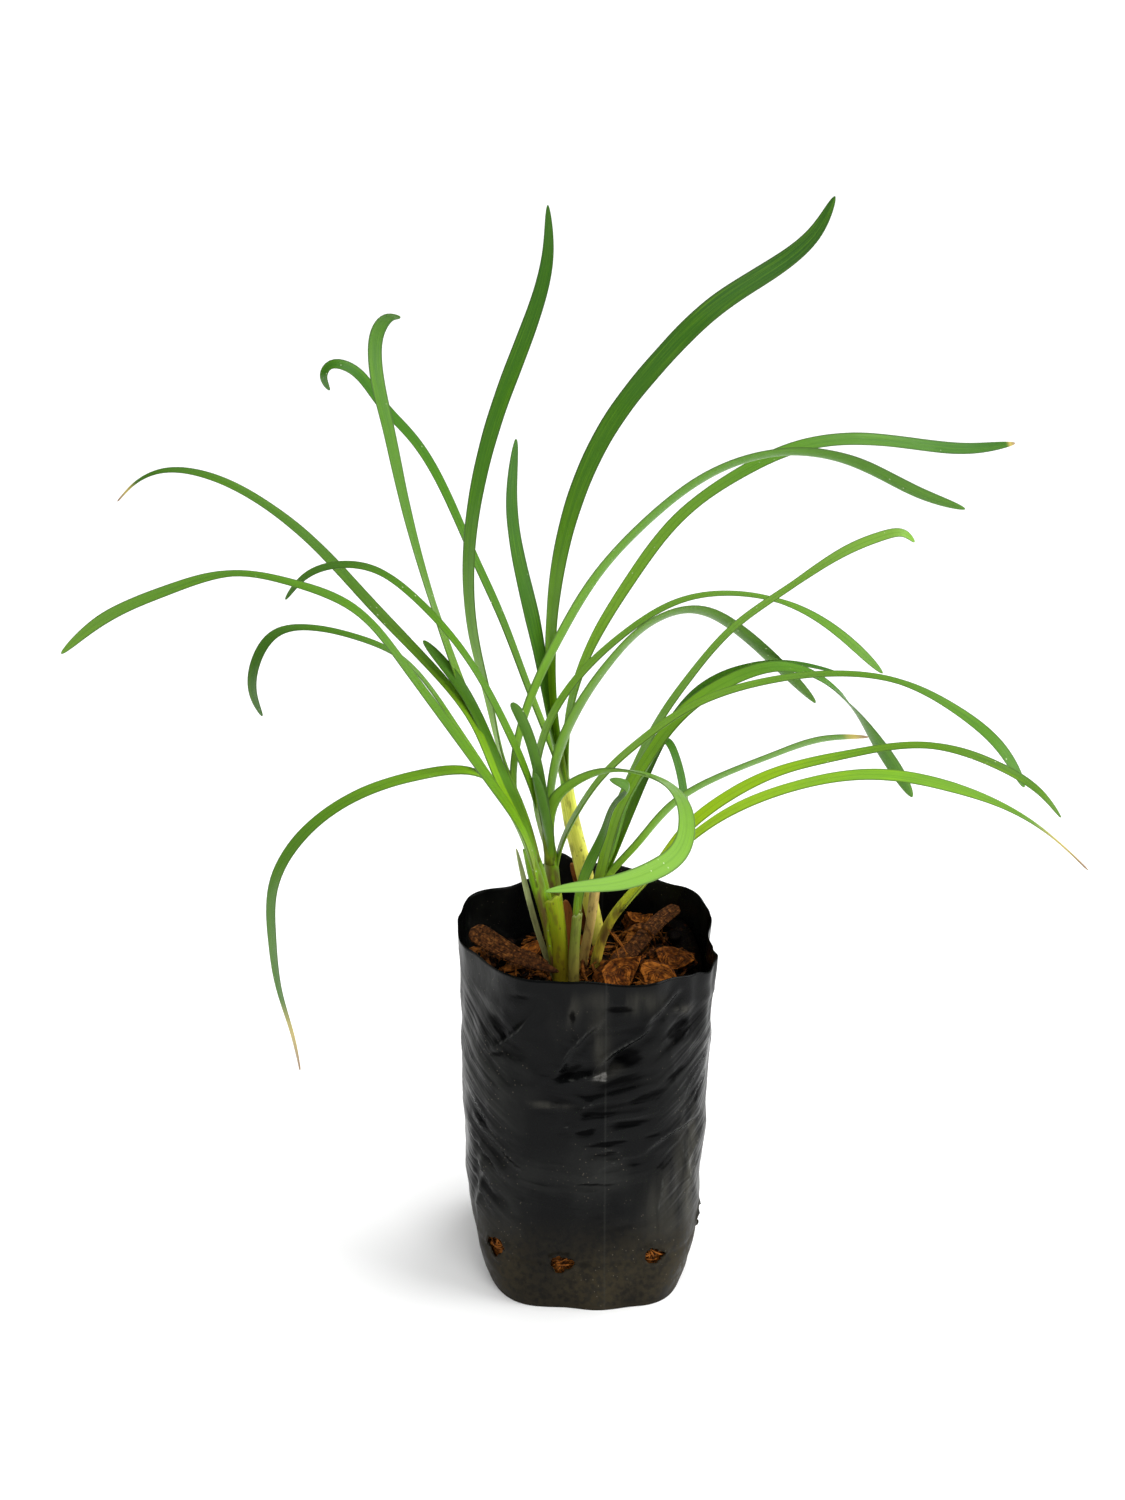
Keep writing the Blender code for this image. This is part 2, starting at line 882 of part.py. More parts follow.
def chip_mesh(chip, grow=0.0, bevel=CHIP_BEVEL):
    """A block of bark with its edges taken off."""
    size = Vector(chip.size) + Vector((grow, grow, grow)) * 2.0
    turn = Euler([math.radians(angle) for angle in chip.turns]).to_matrix().to_4x4()
    place = Matrix.Translation(Vector(chip.middle) * MM) @ turn @ Matrix.Diagonal((*(size * MM), 1.0))
    work = bmesh.new()
    bmesh.ops.create_cube(work, size=1.0, matrix=place)
    bmesh.ops.bevel(work, geom=work.edges[:], offset=bevel * MM, segments=1, affect="EDGES")
    mesh = bpy.data.meshes.new("chip_" + chip.label)
    work.to_mesh(mesh)
    work.free()
    return mesh


def scatter_chips(pieces):
    """Bark pieces sunk into the top of the mix by a seeded rule."""
    rng = random.Random(CHIP_SEED)
    for i in range(CHIP_COUNT):
        reach = CHIP_REACH * math.sqrt(rng.random())
        turn = rng.uniform(0.0, 2.0 * math.pi)
        x, y = reach * math.cos(turn), reach * math.sin(turn)
        size = [rng.uniform(*CHIP_LENGTH), rng.uniform(*CHIP_WIDTH), rng.uniform(*CHIP_DEPTH)]
        tilt = [math.radians(rng.uniform(-CHIP_TILT, CHIP_TILT)) for _ in range(2)]
        spin = Euler((tilt[0], tilt[1], rng.uniform(0.0, math.pi))).to_matrix().to_4x4()
        level = float(mix_height(np.array(x), np.array(y))) + size[2] * (0.5 - CHIP_SINK)
        place = Matrix.Translation(Vector((x, y, level)) * MM) @ spin
        work = bmesh.new()
        bmesh.ops.create_cube(work, size=1.0)
        for corner in work.verts:
            corner.co += Vector([rng.uniform(-CHIP_JITTER, CHIP_JITTER) for _ in range(3)])
        work.transform(place @ Matrix.Diagonal((*(Vector(size) * MM), 1.0)))
        bmesh.ops.triangulate(work, faces=work.faces[:])
        mesh = bpy.data.meshes.new("bark_%d" % i)
        work.to_mesh(mesh)
        work.free()
        link(mesh.name, mesh, pieces)


def make_mix(collection, cutters):
    """The potting mix: it fills the bag and is holed for stems and seated for loose bark."""
    inset = FILM + MIX_GAP
    rings = [bag_ring(level, inset) for level in BAG_LEVELS if level.height < MIX_LEVEL]
    rings[0][:, 2] = inset
    rim = bag_ring(FILL_LEVEL, inset)
    for share in (1.0, *MIX_RINGS):
        ring = rim * (share, share, 0.0)
        ring[:, 2] = mix_height(ring[:, 0], ring[:, 1])
        rings.append(ring)
    rings[-1][:, 2] = rings[-1][:, 2].mean()
    mix = link("potting_mix", loft_mesh("potting_mix", np.stack(rings)), collection)
    pieces = new_collection("bark_pieces")
    scatter_chips(pieces)
    unite(mix, pieces)
    add_boolean(mix, "DIFFERENCE", cutters)
    bake(mix)
    keep_largest_body(mix)
    paint(mix, SOIL_BROWN, 0.95)
    return mix


def make_shoot(shoot, collection, cutters):
    """A stem with its leaves fused to it, its sheath, and its hole in the mix."""
    name = "shoot_" + shoot.label
    rings, middles, along = stem_rings(shoot)
    stem = link(name, loft_mesh(name, rings), collection)
    pieces = new_collection(name + "_leaves")
    for i, leaf in enumerate(shoot.leaves):
        mesh = blade_mesh("%s_leaf_%d" % (name, i), blade_rings(leaf))
        link(mesh.name, mesh, pieces)
    unite(stem, pieces)
    paint(stem, shoot.colour, 0.45)
    smooth(stem)
    outer = 0.0
    if shoot.mouth:
        outer = SHEATH_GAP + SHEATH_WALL
        label = "sheath_" + shoot.label
        inner = stem_rings(shoot, SHEATH_GAP)[0][middles[:, 2] < shoot.mouth]
        sheath = link(label, loft_mesh(label, inner, close_start=False, close_end=False), collection)
        wall = sheath.modifiers.new("wall", "SOLIDIFY")
        wall.thickness = SHEATH_WALL * MM
        wall.offset = 1.0
        wall.use_even_offset = True
        paint(sheath, shoot.sheath_colour, 0.55)
        smooth(sheath)
    hole = stem_rings(shoot, outer + HOLE_GAP)[0][middles[:, 2] < HOLE_TOP]
    hole[0] -= along[0] * HOLE_GAP
    add_cutter("hole_" + shoot.label, loft_mesh("hole", hole), cutters)


def make_strips(collection, cutters):
    """Sheath strips that stand in the mix and husk strips that lie on it."""
    for name, (strip, colour) in STRIPS.items():
        item = link(name, blade_mesh(name, blade_rings(strip)), collection)
        paint(item, colour, 0.8)
        smooth(item)
        add_cutter("seat_" + name, blade_mesh("seat", blade_rings(strip, SEAT_GAP)), cutters)


def make_chips(collection, cutters):
    """Loose bark pieces, each in a seat of its own."""
    for chip in CHIPS:
        item = link("bark_chip_" + chip.label, chip_mesh(chip), collection)
        paint(item, BARK_BROWN, 0.85)
        add_cutter("seat_" + chip.label, chip_mesh(chip, SEAT_GAP), cutters)


def main():
    """Builds the bag, the shoots, the loose pieces and then the mix they stand in."""
    clear_scene()
    collection = new_collection(PART_NAME)
    drain_cutters = new_collection("drain_cutters", cutters=True)
    mix_cutters = new_collection("mix_cutters", cutters=True)
    make_bag(collection, drain_cutters)
    for shoot in SHOOTS:
        make_shoot(shoot, collection, mix_cutters)
    make_strips(collection, mix_cutters)
    make_chips(collection, mix_cutters)
    make_mix(collection, mix_cutters)


main()
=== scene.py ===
"""Potted society garlic: a soft black grow bag of bark mix with seven leafy shoots.

Lengths are millimetres and angles degrees until a mesh is made, and metres in the scene.
The origin is the middle of the bag's foot, +Z is up and the front of the plant faces -Y.
Every route of points runs from the root end to the tip.
"""

import logging
import math
from dataclasses import dataclass, field
from enum import Enum

import bpy
import numpy as np
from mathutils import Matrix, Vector


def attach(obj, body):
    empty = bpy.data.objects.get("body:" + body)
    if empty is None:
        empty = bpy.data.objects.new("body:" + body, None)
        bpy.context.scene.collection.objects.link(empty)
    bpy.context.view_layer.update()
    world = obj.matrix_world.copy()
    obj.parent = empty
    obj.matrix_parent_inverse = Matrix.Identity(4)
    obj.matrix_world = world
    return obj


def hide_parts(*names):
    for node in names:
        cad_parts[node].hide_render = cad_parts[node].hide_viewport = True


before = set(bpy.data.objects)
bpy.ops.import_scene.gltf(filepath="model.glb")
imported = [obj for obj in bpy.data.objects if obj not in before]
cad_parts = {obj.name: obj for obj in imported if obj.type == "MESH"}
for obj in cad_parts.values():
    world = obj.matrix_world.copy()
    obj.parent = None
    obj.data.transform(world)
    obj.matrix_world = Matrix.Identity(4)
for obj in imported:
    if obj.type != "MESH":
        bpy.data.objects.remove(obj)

LOG = logging.getLogger("society_garlic")
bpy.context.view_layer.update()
# Metres in a millimetre, the bag's mean radius and the film's run round it per degree.
MM = 0.001
BAG_RADIUS = 48.0
PER_DEGREE = 0.85
Colour = tuple[float, float, float]
Point = tuple[float, float, float]


# Surfaces


@dataclass
class Surface:
    """Points in millimetres, the faces between them and one number a point for each attribute."""

    points: np.ndarray
    faces: list[np.ndarray]
    values: dict[str, np.ndarray] = field(default_factory=dict)

    @staticmethod
    def join(parts: list["Surface"]) -> "Surface":
        """Sets several surfaces side by side in one.

        Args:
            parts: The surfaces; each holds the same attributes.

        Returns:
            One surface, its parts still separate shells.
        """
        starts = np.cumsum([0] + [len(part.points) for part in parts[:-1]])
        faces = [rows + start for part, start in zip(parts, starts) for rows in part.faces]
        names = parts[0].values
        values = {name: np.concatenate([part.values[name] for part in parts]) for name in names}
        return Surface(np.concatenate([part.points for part in parts]), faces, values)

    def make(self, name: str) -> bpy.types.Object:
        """Puts the surface in the scene as a smooth mesh object at the origin.

        Args:
            name: The piece's name.

        Returns:
            The new object.
        """
        mesh = bpy.data.meshes.new(name)
        faces = [face for rows in self.faces for face in rows.tolist()]
        mesh.from_pydata((self.points * MM).tolist(), [], faces)
        for label, numbers in self.values.items():
            layer = mesh.attributes.new(label, "FLOAT", "POINT")
            layer.data.foreach_set("value", np.ascontiguousarray(numbers, np.float32))
        mesh.shade_smooth()
        mesh.validate()
        piece = bpy.data.objects.new(name, mesh)
        bpy.context.scene.collection.objects.link(piece)
        return piece


def ring_faces(rows: int, columns: int) -> np.ndarray:
    """Four-sided faces between closed rings: point j of ring i meets j + 1 and ring i + 1.

    Args:
        rows: How many rings there are.
        columns: How many points each ring has.

    Returns:
        An array of corner numbers, four a face.
    """
    i, j = np.meshgrid(np.arange(rows - 1), np.arange(columns), indexing="ij")
    a = i * columns + j
    b = i * columns + (j + 1) % columns
    return np.stack([a, b, b + columns, a + columns], axis=-1).reshape(-1, 4)


def closed_tube(rings: np.ndarray, values: dict[str, np.ndarray]) -> Surface:
    """A surface through rings, each end closed by a fan of triangles to the ring's middle.

    Args:
        rings: Points as rows x columns x 3, turning so that the faces point outward.
        values: Numbers as rows x columns for each attribute.

    Returns:
        The closed surface.
    """
    rows, columns = rings.shape[:2]
    points = np.concatenate([rings.reshape(-1, 3), rings[:1].mean(1), rings[-1:].mean(1)])
    j = np.arange(columns)
    k = (j + 1) % columns
    last = (rows - 1) * columns
    first_pole = np.full(columns, rows * columns)
    start = np.stack([k, j, first_pole], axis=1)
    end = np.stack([last + j, last + k, first_pole + 1], axis=1)
    flat = {
        name: np.concatenate([grid.reshape(-1), grid[:1].mean(1), grid[-1:].mean(1)])
        for name, grid in values.items()
    }
    return Surface(points, [ring_faces(rows, columns), start, end], flat)


def smoothstep(value: np.ndarray) -> np.ndarray:
    """Eases from 0 to 1 by 3x^2 - 2x^3."""
    x = np.clip(value, 0.0, 1.0)
    return x * x * (3.0 - 2.0 * x)


def signed_power(value: np.ndarray, power: float) -> np.ndarray:
    """Raises the size of a number to a power and keeps its sign."""
    return np.sign(value) * np.abs(value) ** power


def random_waves(places: np.ndarray, length: float, seed: int, count: int = 14) -> np.ndarray:
    """Soft lumps: the mean of sine waves that run in seeded directions, times 1.6.

    Args:
        places: Points as ... x 2 or ... x 3.
        length: The waves' mean length, in the units of the points.
        seed: The seed of directions and phases.
        count: How many waves are added.

    Returns:
        A number about -1 to 1 for each point.
    """
    rng = np.random.default_rng(seed)
    heading = made_unit(rng.normal(size=(count, places.shape[-1])))
    heading *= (2.0 * math.pi / length) * rng.uniform(0.6, 1.6, count)[:, None]
    phase = rng.uniform(0.0, 2.0 * math.pi, count)
    return np.sin(places @ heading.T + phase).mean(-1) * 1.6


def round_angles(count: int) -> np.ndarray:
    """Evenly spaced angles of a full turn, in radians."""
    return np.linspace(0.0, 2.0 * math.pi, count, endpoint=False)


def made_unit(vectors: np.ndarray) -> np.ndarray:
    """Each vector divided by its length."""
    return vectors / np.linalg.norm(vectors, axis=-1, keepdims=True)


def turned_from(angles: np.ndarray, middle: float) -> np.ndarray:
    """Degrees from a middle angle, between -180 and 180."""
    return (angles - middle + 180.0) % 360.0 - 180.0


def natural_spline(knots: np.ndarray, values: np.ndarray, at: np.ndarray) -> np.ndarray:
    """Reads the natural cubic curve through values at the knots.

    Args:
        knots: Rising places along the curve.
        values: The points at the knots.
        at: The places to read.

    Returns:
        The points of the curve there.
    """
    gaps = np.diff(knots)
    count = len(knots)
    system = np.eye(count)
    right = np.zeros_like(values)
    inner = np.arange(1, count - 1)
    system[inner, inner - 1] = gaps[:-1]
    system[inner, inner] = 2.0 * (gaps[:-1] + gaps[1:])
    system[inner, inner + 1] = gaps[1:]
    slopes = np.diff(values, axis=0) / gaps[:, None]
    right[1:-1] = 6.0 * np.diff(slopes, axis=0)
    bend = np.linalg.solve(system, right)
    span = np.clip(np.searchsorted(knots, at) - 1, 0, count - 2)
    gap = gaps[span][:, None]
    b = (at - knots[span])[:, None] / gap
    a = 1.0 - b
    cubic = ((a**3 - a) * bend[span] + (b**3 - b) * bend[span + 1]) * gap**2 / 6.0
    return a * values[span] + b * values[span + 1] + cubic


@dataclass(frozen=True)
class Route:
    """A curve through points, from root to tip."""

    points: tuple[Point, ...]

    def sample(self, shares: np.ndarray) -> tuple[np.ndarray, np.ndarray, float]:
        """Reads the natural cubic curve through the route's points.

        Args:
            shares: Rising shares of the length, 0 to 1.

        Returns:
            The points, the unit directions there and the length.
        """
        values = np.asarray(self.points, float)
        knots = np.r_[0.0, np.cumsum(np.linalg.norm(np.diff(values, axis=0), axis=1))]
        at = shares * knots[-1]
        small = knots[-1] * 1e-4
        low, high = np.clip(at - small, 0.0, knots[-1]), np.clip(at + small, 0.0, knots[-1])
        along = natural_spline(knots, values, high) - natural_spline(knots, values, low)
        return natural_spline(knots, values, at), made_unit(along), float(knots[-1])


def carried_sides(along: np.ndarray, shares: np.ndarray) -> np.ndarray:
    """Level side direction at half the length of a curve, carried both ways without twist.

    Each next side is the last one less its part along the new direction, made unit long.

    Args:
        along: Unit directions at the stations.
        shares: The stations' shares of the length.

    Returns:
        Unit side directions.
    """
    middle = int(np.abs(shares - 0.5).argmin())
    sides = np.zeros_like(along)
    level = np.cross(along[middle], (0.0, 0.0, 1.0))
    sides[middle] = level / np.linalg.norm(level)
    for order in (range(middle + 1, len(along)), range(middle - 1, -1, -1)):
        last = sides[middle]
        for station in order:
            last = last - along[station] * (last @ along[station])
            last = last / np.linalg.norm(last)
            sides[station] = last
    return sides


# Materials


class Shader:
    """A material's node tree, with short calls for the nodes this plant needs."""

    def __init__(self, name: str) -> None:
        """Starts a material that holds one Principled shader.

        Args:
            name: The material's name.
        """
        self.material = bpy.data.materials.new(name)
        self.material.use_nodes = True
        self.tree = self.material.node_tree
        self.surface = self.tree.nodes["Principled BSDF"]

    def feed(self, value: object, socket: bpy.types.NodeSocket) -> None:
        """Links a socket to another, or sets its number.

        Args:
            value: A socket, a number, a vector or a colour.
            socket: The input that takes it.
        """
        if isinstance(value, bpy.types.NodeSocket):
            self.tree.links.new(value, socket)
        elif isinstance(value, tuple) and socket.type == "RGBA":
            socket.default_value = (*value, 1.0)
        else:
            socket.default_value = value

    def math(self, operation: str, a: object, b: object = 0.0) -> bpy.types.NodeSocket:
        """One step of arithmetic on two numbers or sockets.

        Args:
            operation: The step's name.
            a: The first number or socket.
            b: The second one.

        Returns:
            The socket of the result.
        """
        node = self.tree.nodes.new("ShaderNodeMath")
        node.operation = operation
        self.feed(a, node.inputs[0])
        self.feed(b, node.inputs[1])
        return node.outputs[0]

    def times(self, a: object, b: object) -> bpy.types.NodeSocket:
        """The product of two numbers or sockets."""
        return self.math("MULTIPLY", a, b)

    def share(self, value: object, low: float, high: float, to: tuple = (0.0, 1.0)) -> object:
        """Eases a number from one range into another.

        Args:
            value: The number's socket.
            low: Where the range starts.
            high: Where it ends; it may be below low.
            to: The range that comes out.

        Returns:
            The socket of the eased number.
        """
        node = self.tree.nodes.new("ShaderNodeMapRange")
        node.interpolation_type = "SMOOTHSTEP"
        self.feed(value, node.inputs["Value"])
        node.inputs["From Min"].default_value = low
        node.inputs["From Max"].default_value = high
        node.inputs["To Min"].default_value = to[0]
        node.inputs["To Max"].default_value = to[1]
        return node.outputs["Result"]

    def blend(self, share: object, a: object, b: object) -> object:
        """Mixes two colours by a share; a mix node's colours are inputs 6 and 7 and output 2.

        Args:
            share: How much of the second colour shows, 0 to 1.
            a: The first colour.
            b: The second colour.

        Returns:
            The socket of the mixed colour.
        """
        node = self.tree.nodes.new("ShaderNodeMix")
        node.data_type = "RGBA"
        self.feed(share, node.inputs[0])
        self.feed(a, node.inputs[6])
        self.feed(b, node.inputs[7])
        return node.outputs[2]

    def ramp(self, value: object, stops: tuple[tuple[float, Colour], ...]) -> object:
        """Turns a number into a colour by stops.

        Args:
            value: The number's socket.
            stops: Places and colours in rising order.

        Returns:
            The colour's socket.
        """
        node = self.tree.nodes.new("ShaderNodeValToRGB")
        elements = node.color_ramp.elements
        while len(elements) < len(stops):
            elements.new(0.5)
        for element, (place, colour) in zip(elements, stops):
            element.position = place
            element.color = (*colour, 1.0)
        self.feed(value, node.inputs[0])
        return node.outputs[0]

    def number(self, name: str) -> bpy.types.NodeSocket:
        """Reads one of the mesh's own attributes.

        Args:
            name: The attribute's name.

        Returns:
            The socket of its number.
        """
        node = self.tree.nodes.new("ShaderNodeAttribute")
        node.attribute_name = name
        return node.outputs["Fac"]

    def place(self, scale: Point = (1.0, 1.0, 1.0)) -> bpy.types.NodeSocket:
        """Object coordinates, multiplied along each axis.

        Args:
            scale: The factor along each axis.

        Returns:
            The socket of the place.
        """
        where = self.tree.nodes.new("ShaderNodeTexCoord")
        node = self.tree.nodes.new("ShaderNodeMapping")
        node.inputs["Scale"].default_value = scale
        self.feed(where.outputs["Object"], node.inputs["Vector"])
        return node.outputs["Vector"]

    def drape(self, fall: float, squeeze: float) -> bpy.types.NodeSocket:
        """Object coordinates whose height sinks towards the middle, so that lines hang in swags.

        Args:
            fall: How steeply the lines sink towards x = 0.
            squeeze: How much the height is multiplied, which lays the lines down.

        Returns:
            The socket of (x, y, squeeze times (z - fall |x|)).
        """
        x, y, z = self.axes()
        sunk = self.times(self.math("ABSOLUTE", x), fall)
        return self.vector(x, y, self.times(self.math("SUBTRACT", z, sunk), squeeze))

    def vector(self, x: object, y: object, z: object) -> bpy.types.NodeSocket:
        """A vector from three numbers or sockets.

        Args:
            x: The first.
            y: The second.
            z: The third.

        Returns:
            The vector's socket.
        """
        node = self.tree.nodes.new("ShaderNodeCombineXYZ")
        for value, socket in zip((x, y, z), node.inputs):
            self.feed(value, socket)
        return node.outputs[0]

    def axes(self) -> tuple[bpy.types.NodeSocket, bpy.types.NodeSocket, bpy.types.NodeSocket]:
        """The place on the object, axis by axis.

        Returns:
            The sockets of x, y and height, in metres.
        """
        where = self.tree.nodes.new("ShaderNodeTexCoord")
        node = self.tree.nodes.new("ShaderNodeSeparateXYZ")
        self.feed(where.outputs["Object"], node.inputs[0])
        return node.outputs["X"], node.outputs["Y"], node.outputs["Z"]

    def noise(self, vector: object, scale: float, detail: float = 3.0) -> object:
        """A noise texture's value.

        Args:
            vector: Where it is read.
            scale: Its scale.
            detail: Its levels of detail.

        Returns:
            The socket of a number about 0.5.
        """
        node = self.tree.nodes.new("ShaderNodeTexNoise")
        self.feed(vector, node.inputs["Vector"])
        node.inputs["Scale"].default_value = scale
        node.inputs["Detail"].default_value = detail
        return node.outputs["Fac"]

    def cells(self, vector: object, scale: float, feature: str = "DISTANCE_TO_EDGE") -> object:
        """A Voronoi texture's distance.

        Args:
            vector: Where it is read.
            scale: Its scale.
            feature: Which distance it gives.

        Returns:
            The distance's socket.
        """
        node = self.tree.nodes.new("ShaderNodeTexVoronoi")
        node.feature = feature
        self.feed(vector, node.inputs["Vector"])
        node.inputs["Scale"].default_value = scale
        return node.outputs["Distance"]

    def bump(self, height: object, strength: float, depth: float, under: object = None) -> object:
        """Turns a height into a bent normal.

        Args:
            height: The socket of the height, 0 to 1.
            strength: How much of the bend is used.
            depth: The height of 1, in metres.
            under: The normal of a coarser bump to add this one to.

        Returns:
            The normal's socket.
        """
        node = self.tree.nodes.new("ShaderNodeBump")
        node.inputs["Strength"].default_value = strength
        node.inputs["Distance"].default_value = depth
        self.feed(height, node.inputs["Height"])
        if under is not None:
            self.feed(under, node.inputs["Normal"])
        return node.outputs["Normal"]

    def finish(
        self, colour: object, roughness: object, normal: object, shine: object = 0.5
    ) -> bpy.types.Material:
        """Feeds the shader its colour, roughness, normal and shine.

        Args:
            colour: The base colour's socket.
            roughness: The roughness's socket or number.
            normal: The bent normal's socket.
            shine: The socket or number of how strongly it reflects.

        Returns:
            The finished material.
        """
        inputs = self.surface.inputs
        self.feed(colour, inputs["Base Color"])
        self.feed(roughness, inputs["Roughness"])
        self.feed(normal, inputs["Normal"])
        self.feed(shine, inputs["Specular IOR Level"])
        return self.material


@dataclass(frozen=True)
class LeafFinish:
    """A fleshy leaf: pale at its root, bright, then deeper green, with fine veins."""

    slot: str
    root: Colour
    bright: Colour
    middle: Colour
    deep: Colour
    # Light and dark: the greens each leaf's tone leans to, partly its own shade of green and partly
    # painted shade on leaves lying in shadow.
    light: Colour = (0.25, 0.46, 0.065)
    dark: Colour = (0.022, 0.080, 0.009)
    lime: Colour = (0.25, 0.47, 0.012)
    rim: Colour = (0.045, 0.085, 0.02)
    underside: Colour = (0.19, 0.36, 0.07)
    # Pale specks: painted glints of small water drops on the leaves.
    speck: Colour = (0.62, 0.68, 0.44)
    stain: Colour = (0.115, 0.060, 0.020)
    straw: Colour = (0.50, 0.40, 0.10)
    withered: Colour = (0.33, 0.22, 0.13)
    shine: float = 0.17
    gloss: float = 0.36
    bright_at: float = 0.1
    middle_at: float = 0.34

    def material(self) -> bpy.types.Material:
        """Builds the leaf's material from the numbers along and across each blade.

        Returns:
            The finished material.
        """
        shader = Shader("leaf_" + self.slot)
        along, across = shader.number("along"), shader.number("across")
        tone, length = shader.number("tone"), shader.number("length")
        clouds = shader.noise(shader.place((1.0, 1.0, 0.5)), 70.0, 4.0)
        mottle = shader.times(shader.math("SUBTRACT", clouds, 0.5), 0.22)
        shade = shader.math("ADD", along, mottle)
        stops = (
            (0.0, self.root),
            (self.bright_at, self.bright),
            (self.middle_at, self.middle),
            (0.92, self.deep),
        )
        colour = shader.ramp(shade, stops)
        blade = shader.share(along, 0.04, 0.2, (0.0, 0.85))
        # Whole blades lightened or darkened by their tone: partly their own green and partly painted
        # shade on leaves in shadow.
        pale = shader.times(shader.share(tone, 0.5, 0.0), blade)
        colour = shader.blend(pale, colour, self.light)
        shady = shader.times(shader.share(tone, 0.5, 1.0), blade)
        colour = shader.blend(shady, colour, self.dark)
        yellow = shader.times(shader.number("lime"), shader.share(along, 0.62, 0.1))
        colour = shader.blend(yellow, colour, self.lime)
        lines = shader.vector(shader.times(across, 7.0), shader.times(length, 14.0), tone)
        veins = shader.noise(lines, 2.6, 3.0)
        colour = shader.blend(shader.share(veins, 0.45, 0.7, (0.0, 0.3)), colour, self.bright)
        colour = shader.blend(shader.share(veins, 0.42, 0.25, (0.0, 0.4)), colour, self.deep)
        # Darker grey-green towards the edges, as a thin dark outline and partly as painted shade where
        # the blade turns edge-on.
        side = shader.math("ABSOLUTE", across)
        rim = shader.share(side, 0.74, 0.94, (0.0, 0.62))
        colour = shader.blend(rim, colour, self.rim)
        rib = shader.share(side, 0.16, 0.03, (0.0, 0.22))
        colour = shader.blend(rib, colour, self.deep)
        under = shader.times(shader.number("under"), 0.25)
        colour = shader.blend(under, colour, self.underside)
        # Pale specks in seeded patches: painted glints of small water drops.
        specks = shader.cells(shader.place(), 330.0, "F1")
        drop_glints = shader.share(specks, 0.13, 0.07, (0.0, 0.75))
        patches = shader.share(shader.noise(shader.place(), 34.0, 1.0), 0.56, 0.66)
        colour = shader.blend(shader.times(drop_glints, patches), colour, self.speck)
        blotch = shader.share(shader.noise(shader.place((1.0, 1.0, 0.35)), 210.0, 3.0), 0.42, 0.6)
        stain = shader.times(blotch, shader.times(shader.number("stain"), 0.75))
        colour = shader.blend(stain, colour, self.stain)
        dry = shader.number("dry")
        colour = shader.blend(shader.share(dry, 0.05, 0.55), colour, self.straw)
        colour = shader.blend(shader.share(dry, 0.5, 0.95), colour, self.withered)
        relief = shader.bump(veins, 0.55, 0.00022)
        relief = shader.bump(shader.noise(shader.place(), 420.0, 2.0), 0.12, 0.0002, relief)
        rough = shader.share(clouds, 0.3, 0.7, (self.gloss - 0.06, self.gloss + 0.12))
        return shader.finish(colour, rough, relief, self.shine)


@dataclass(frozen=True)
class SheathFinish:
    """A papery leaf sheath: pale, with long veins, purple-brown specks and a brown edge."""

    slot: str
    colour: Colour
    vein: Colour
    speck: Colour
    specks: float = 0.5
    foot: Colour = (0.24, 0.17, 0.035)
    edge: Colour = (0.46, 0.46, 0.18)
    shine: float = 0.15

    def material(self) -> bpy.types.Material:
        """Builds the sheath's material from the numbers along and across it.

        Returns:
            The finished material.
        """
        shader = Shader("sheath_" + self.slot)
        across, length, along = (shader.number(name) for name in ("across", "length", "along"))
        lines = shader.vector(shader.times(across, 9.0), shader.times(length, 30.0), 0.3)
        veins = shader.noise(lines, 2.4, 4.0)
        colour = shader.blend(shader.share(veins, 0.38, 0.62), self.colour, self.vein)
        foot = shader.share(along, 0.92, 0.4, (0.0, 0.8))
        colour = shader.blend(foot, colour, self.foot)
        blotch = shader.share(shader.noise(shader.place((1.0, 1.0, 0.45)), 330.0, 3.0), 0.52, 0.66)
        colour = shader.blend(shader.times(blotch, self.specks * 0.7), colour, self.speck)
        dots = shader.share(shader.cells(shader.place((1.0, 1.0, 0.7)), 430.0, "F1"), 0.26, 0.12)
        dots = shader.times(dots, shader.share(shader.noise(shader.place(), 120.0), 0.42, 0.6))
        colour = shader.blend(shader.times(dots, self.specks), colour, self.speck)
        colour = shader.blend(shader.share(along, 0.98, 0.995, (0.0, 0.7)), colour, self.edge)
        return shader.finish(colour, 0.5, shader.bump(veins, 0.6, 0.0003), self.shine)


@dataclass(frozen=True)
class BarkFinish:
    """Bark and husk: reddish brown with fibres, dark cracks and pale parts; on the chips the pale top
    edges are painted highlight.
    """

    slot: str
    light: Colour
    middle: Colour
    dark: Colour
    fibres: float = 0.5
    grain: float = 340.0
    crack: Colour = (0.012, 0.006, 0.004)
    shine: float = 0.07

    def material(self) -> bpy.types.Material:
        """Builds the bark's material from its own coordinates and each bit's tone.

        Returns:
            The finished material.
        """
        shader = Shader("bark_" + self.slot)
        lines = shader.vector(
            shader.times(shader.number("across"), 6.0),
            shader.times(shader.number("length"), 70.0),
            shader.number("tone"),
        )
        fibre = shader.noise(lines, 2.2, 5.0)
        grain = shader.noise(shader.place(), self.grain, 6.0)
        fibre, grain = shader.times(fibre, self.fibres), shader.times(grain, 1.0 - self.fibres)
        mixed = shader.math("ADD", fibre, grain)
        tone = shader.times(shader.math("SUBTRACT", shader.number("tone"), 0.5), 0.34)
        mixed = shader.math("ADD", mixed, tone)
        stops = ((0.33, self.dark), (0.5, self.middle), (0.66, self.light))
        colour = shader.ramp(mixed, stops)
        cracks = shader.share(shader.cells(shader.place((1.0, 1.0, 2.2)), 170.0), 0.07, 0.0)
        colour = shader.blend(shader.times(cracks, 0.5), colour, self.crack)
        relief = shader.bump(mixed, 1.0, 0.0014)
        relief = shader.bump(shader.math("SUBTRACT", 1.0, cracks), 0.5, 0.0004, relief)
        return shader.finish(colour, 0.7, relief, self.shine)


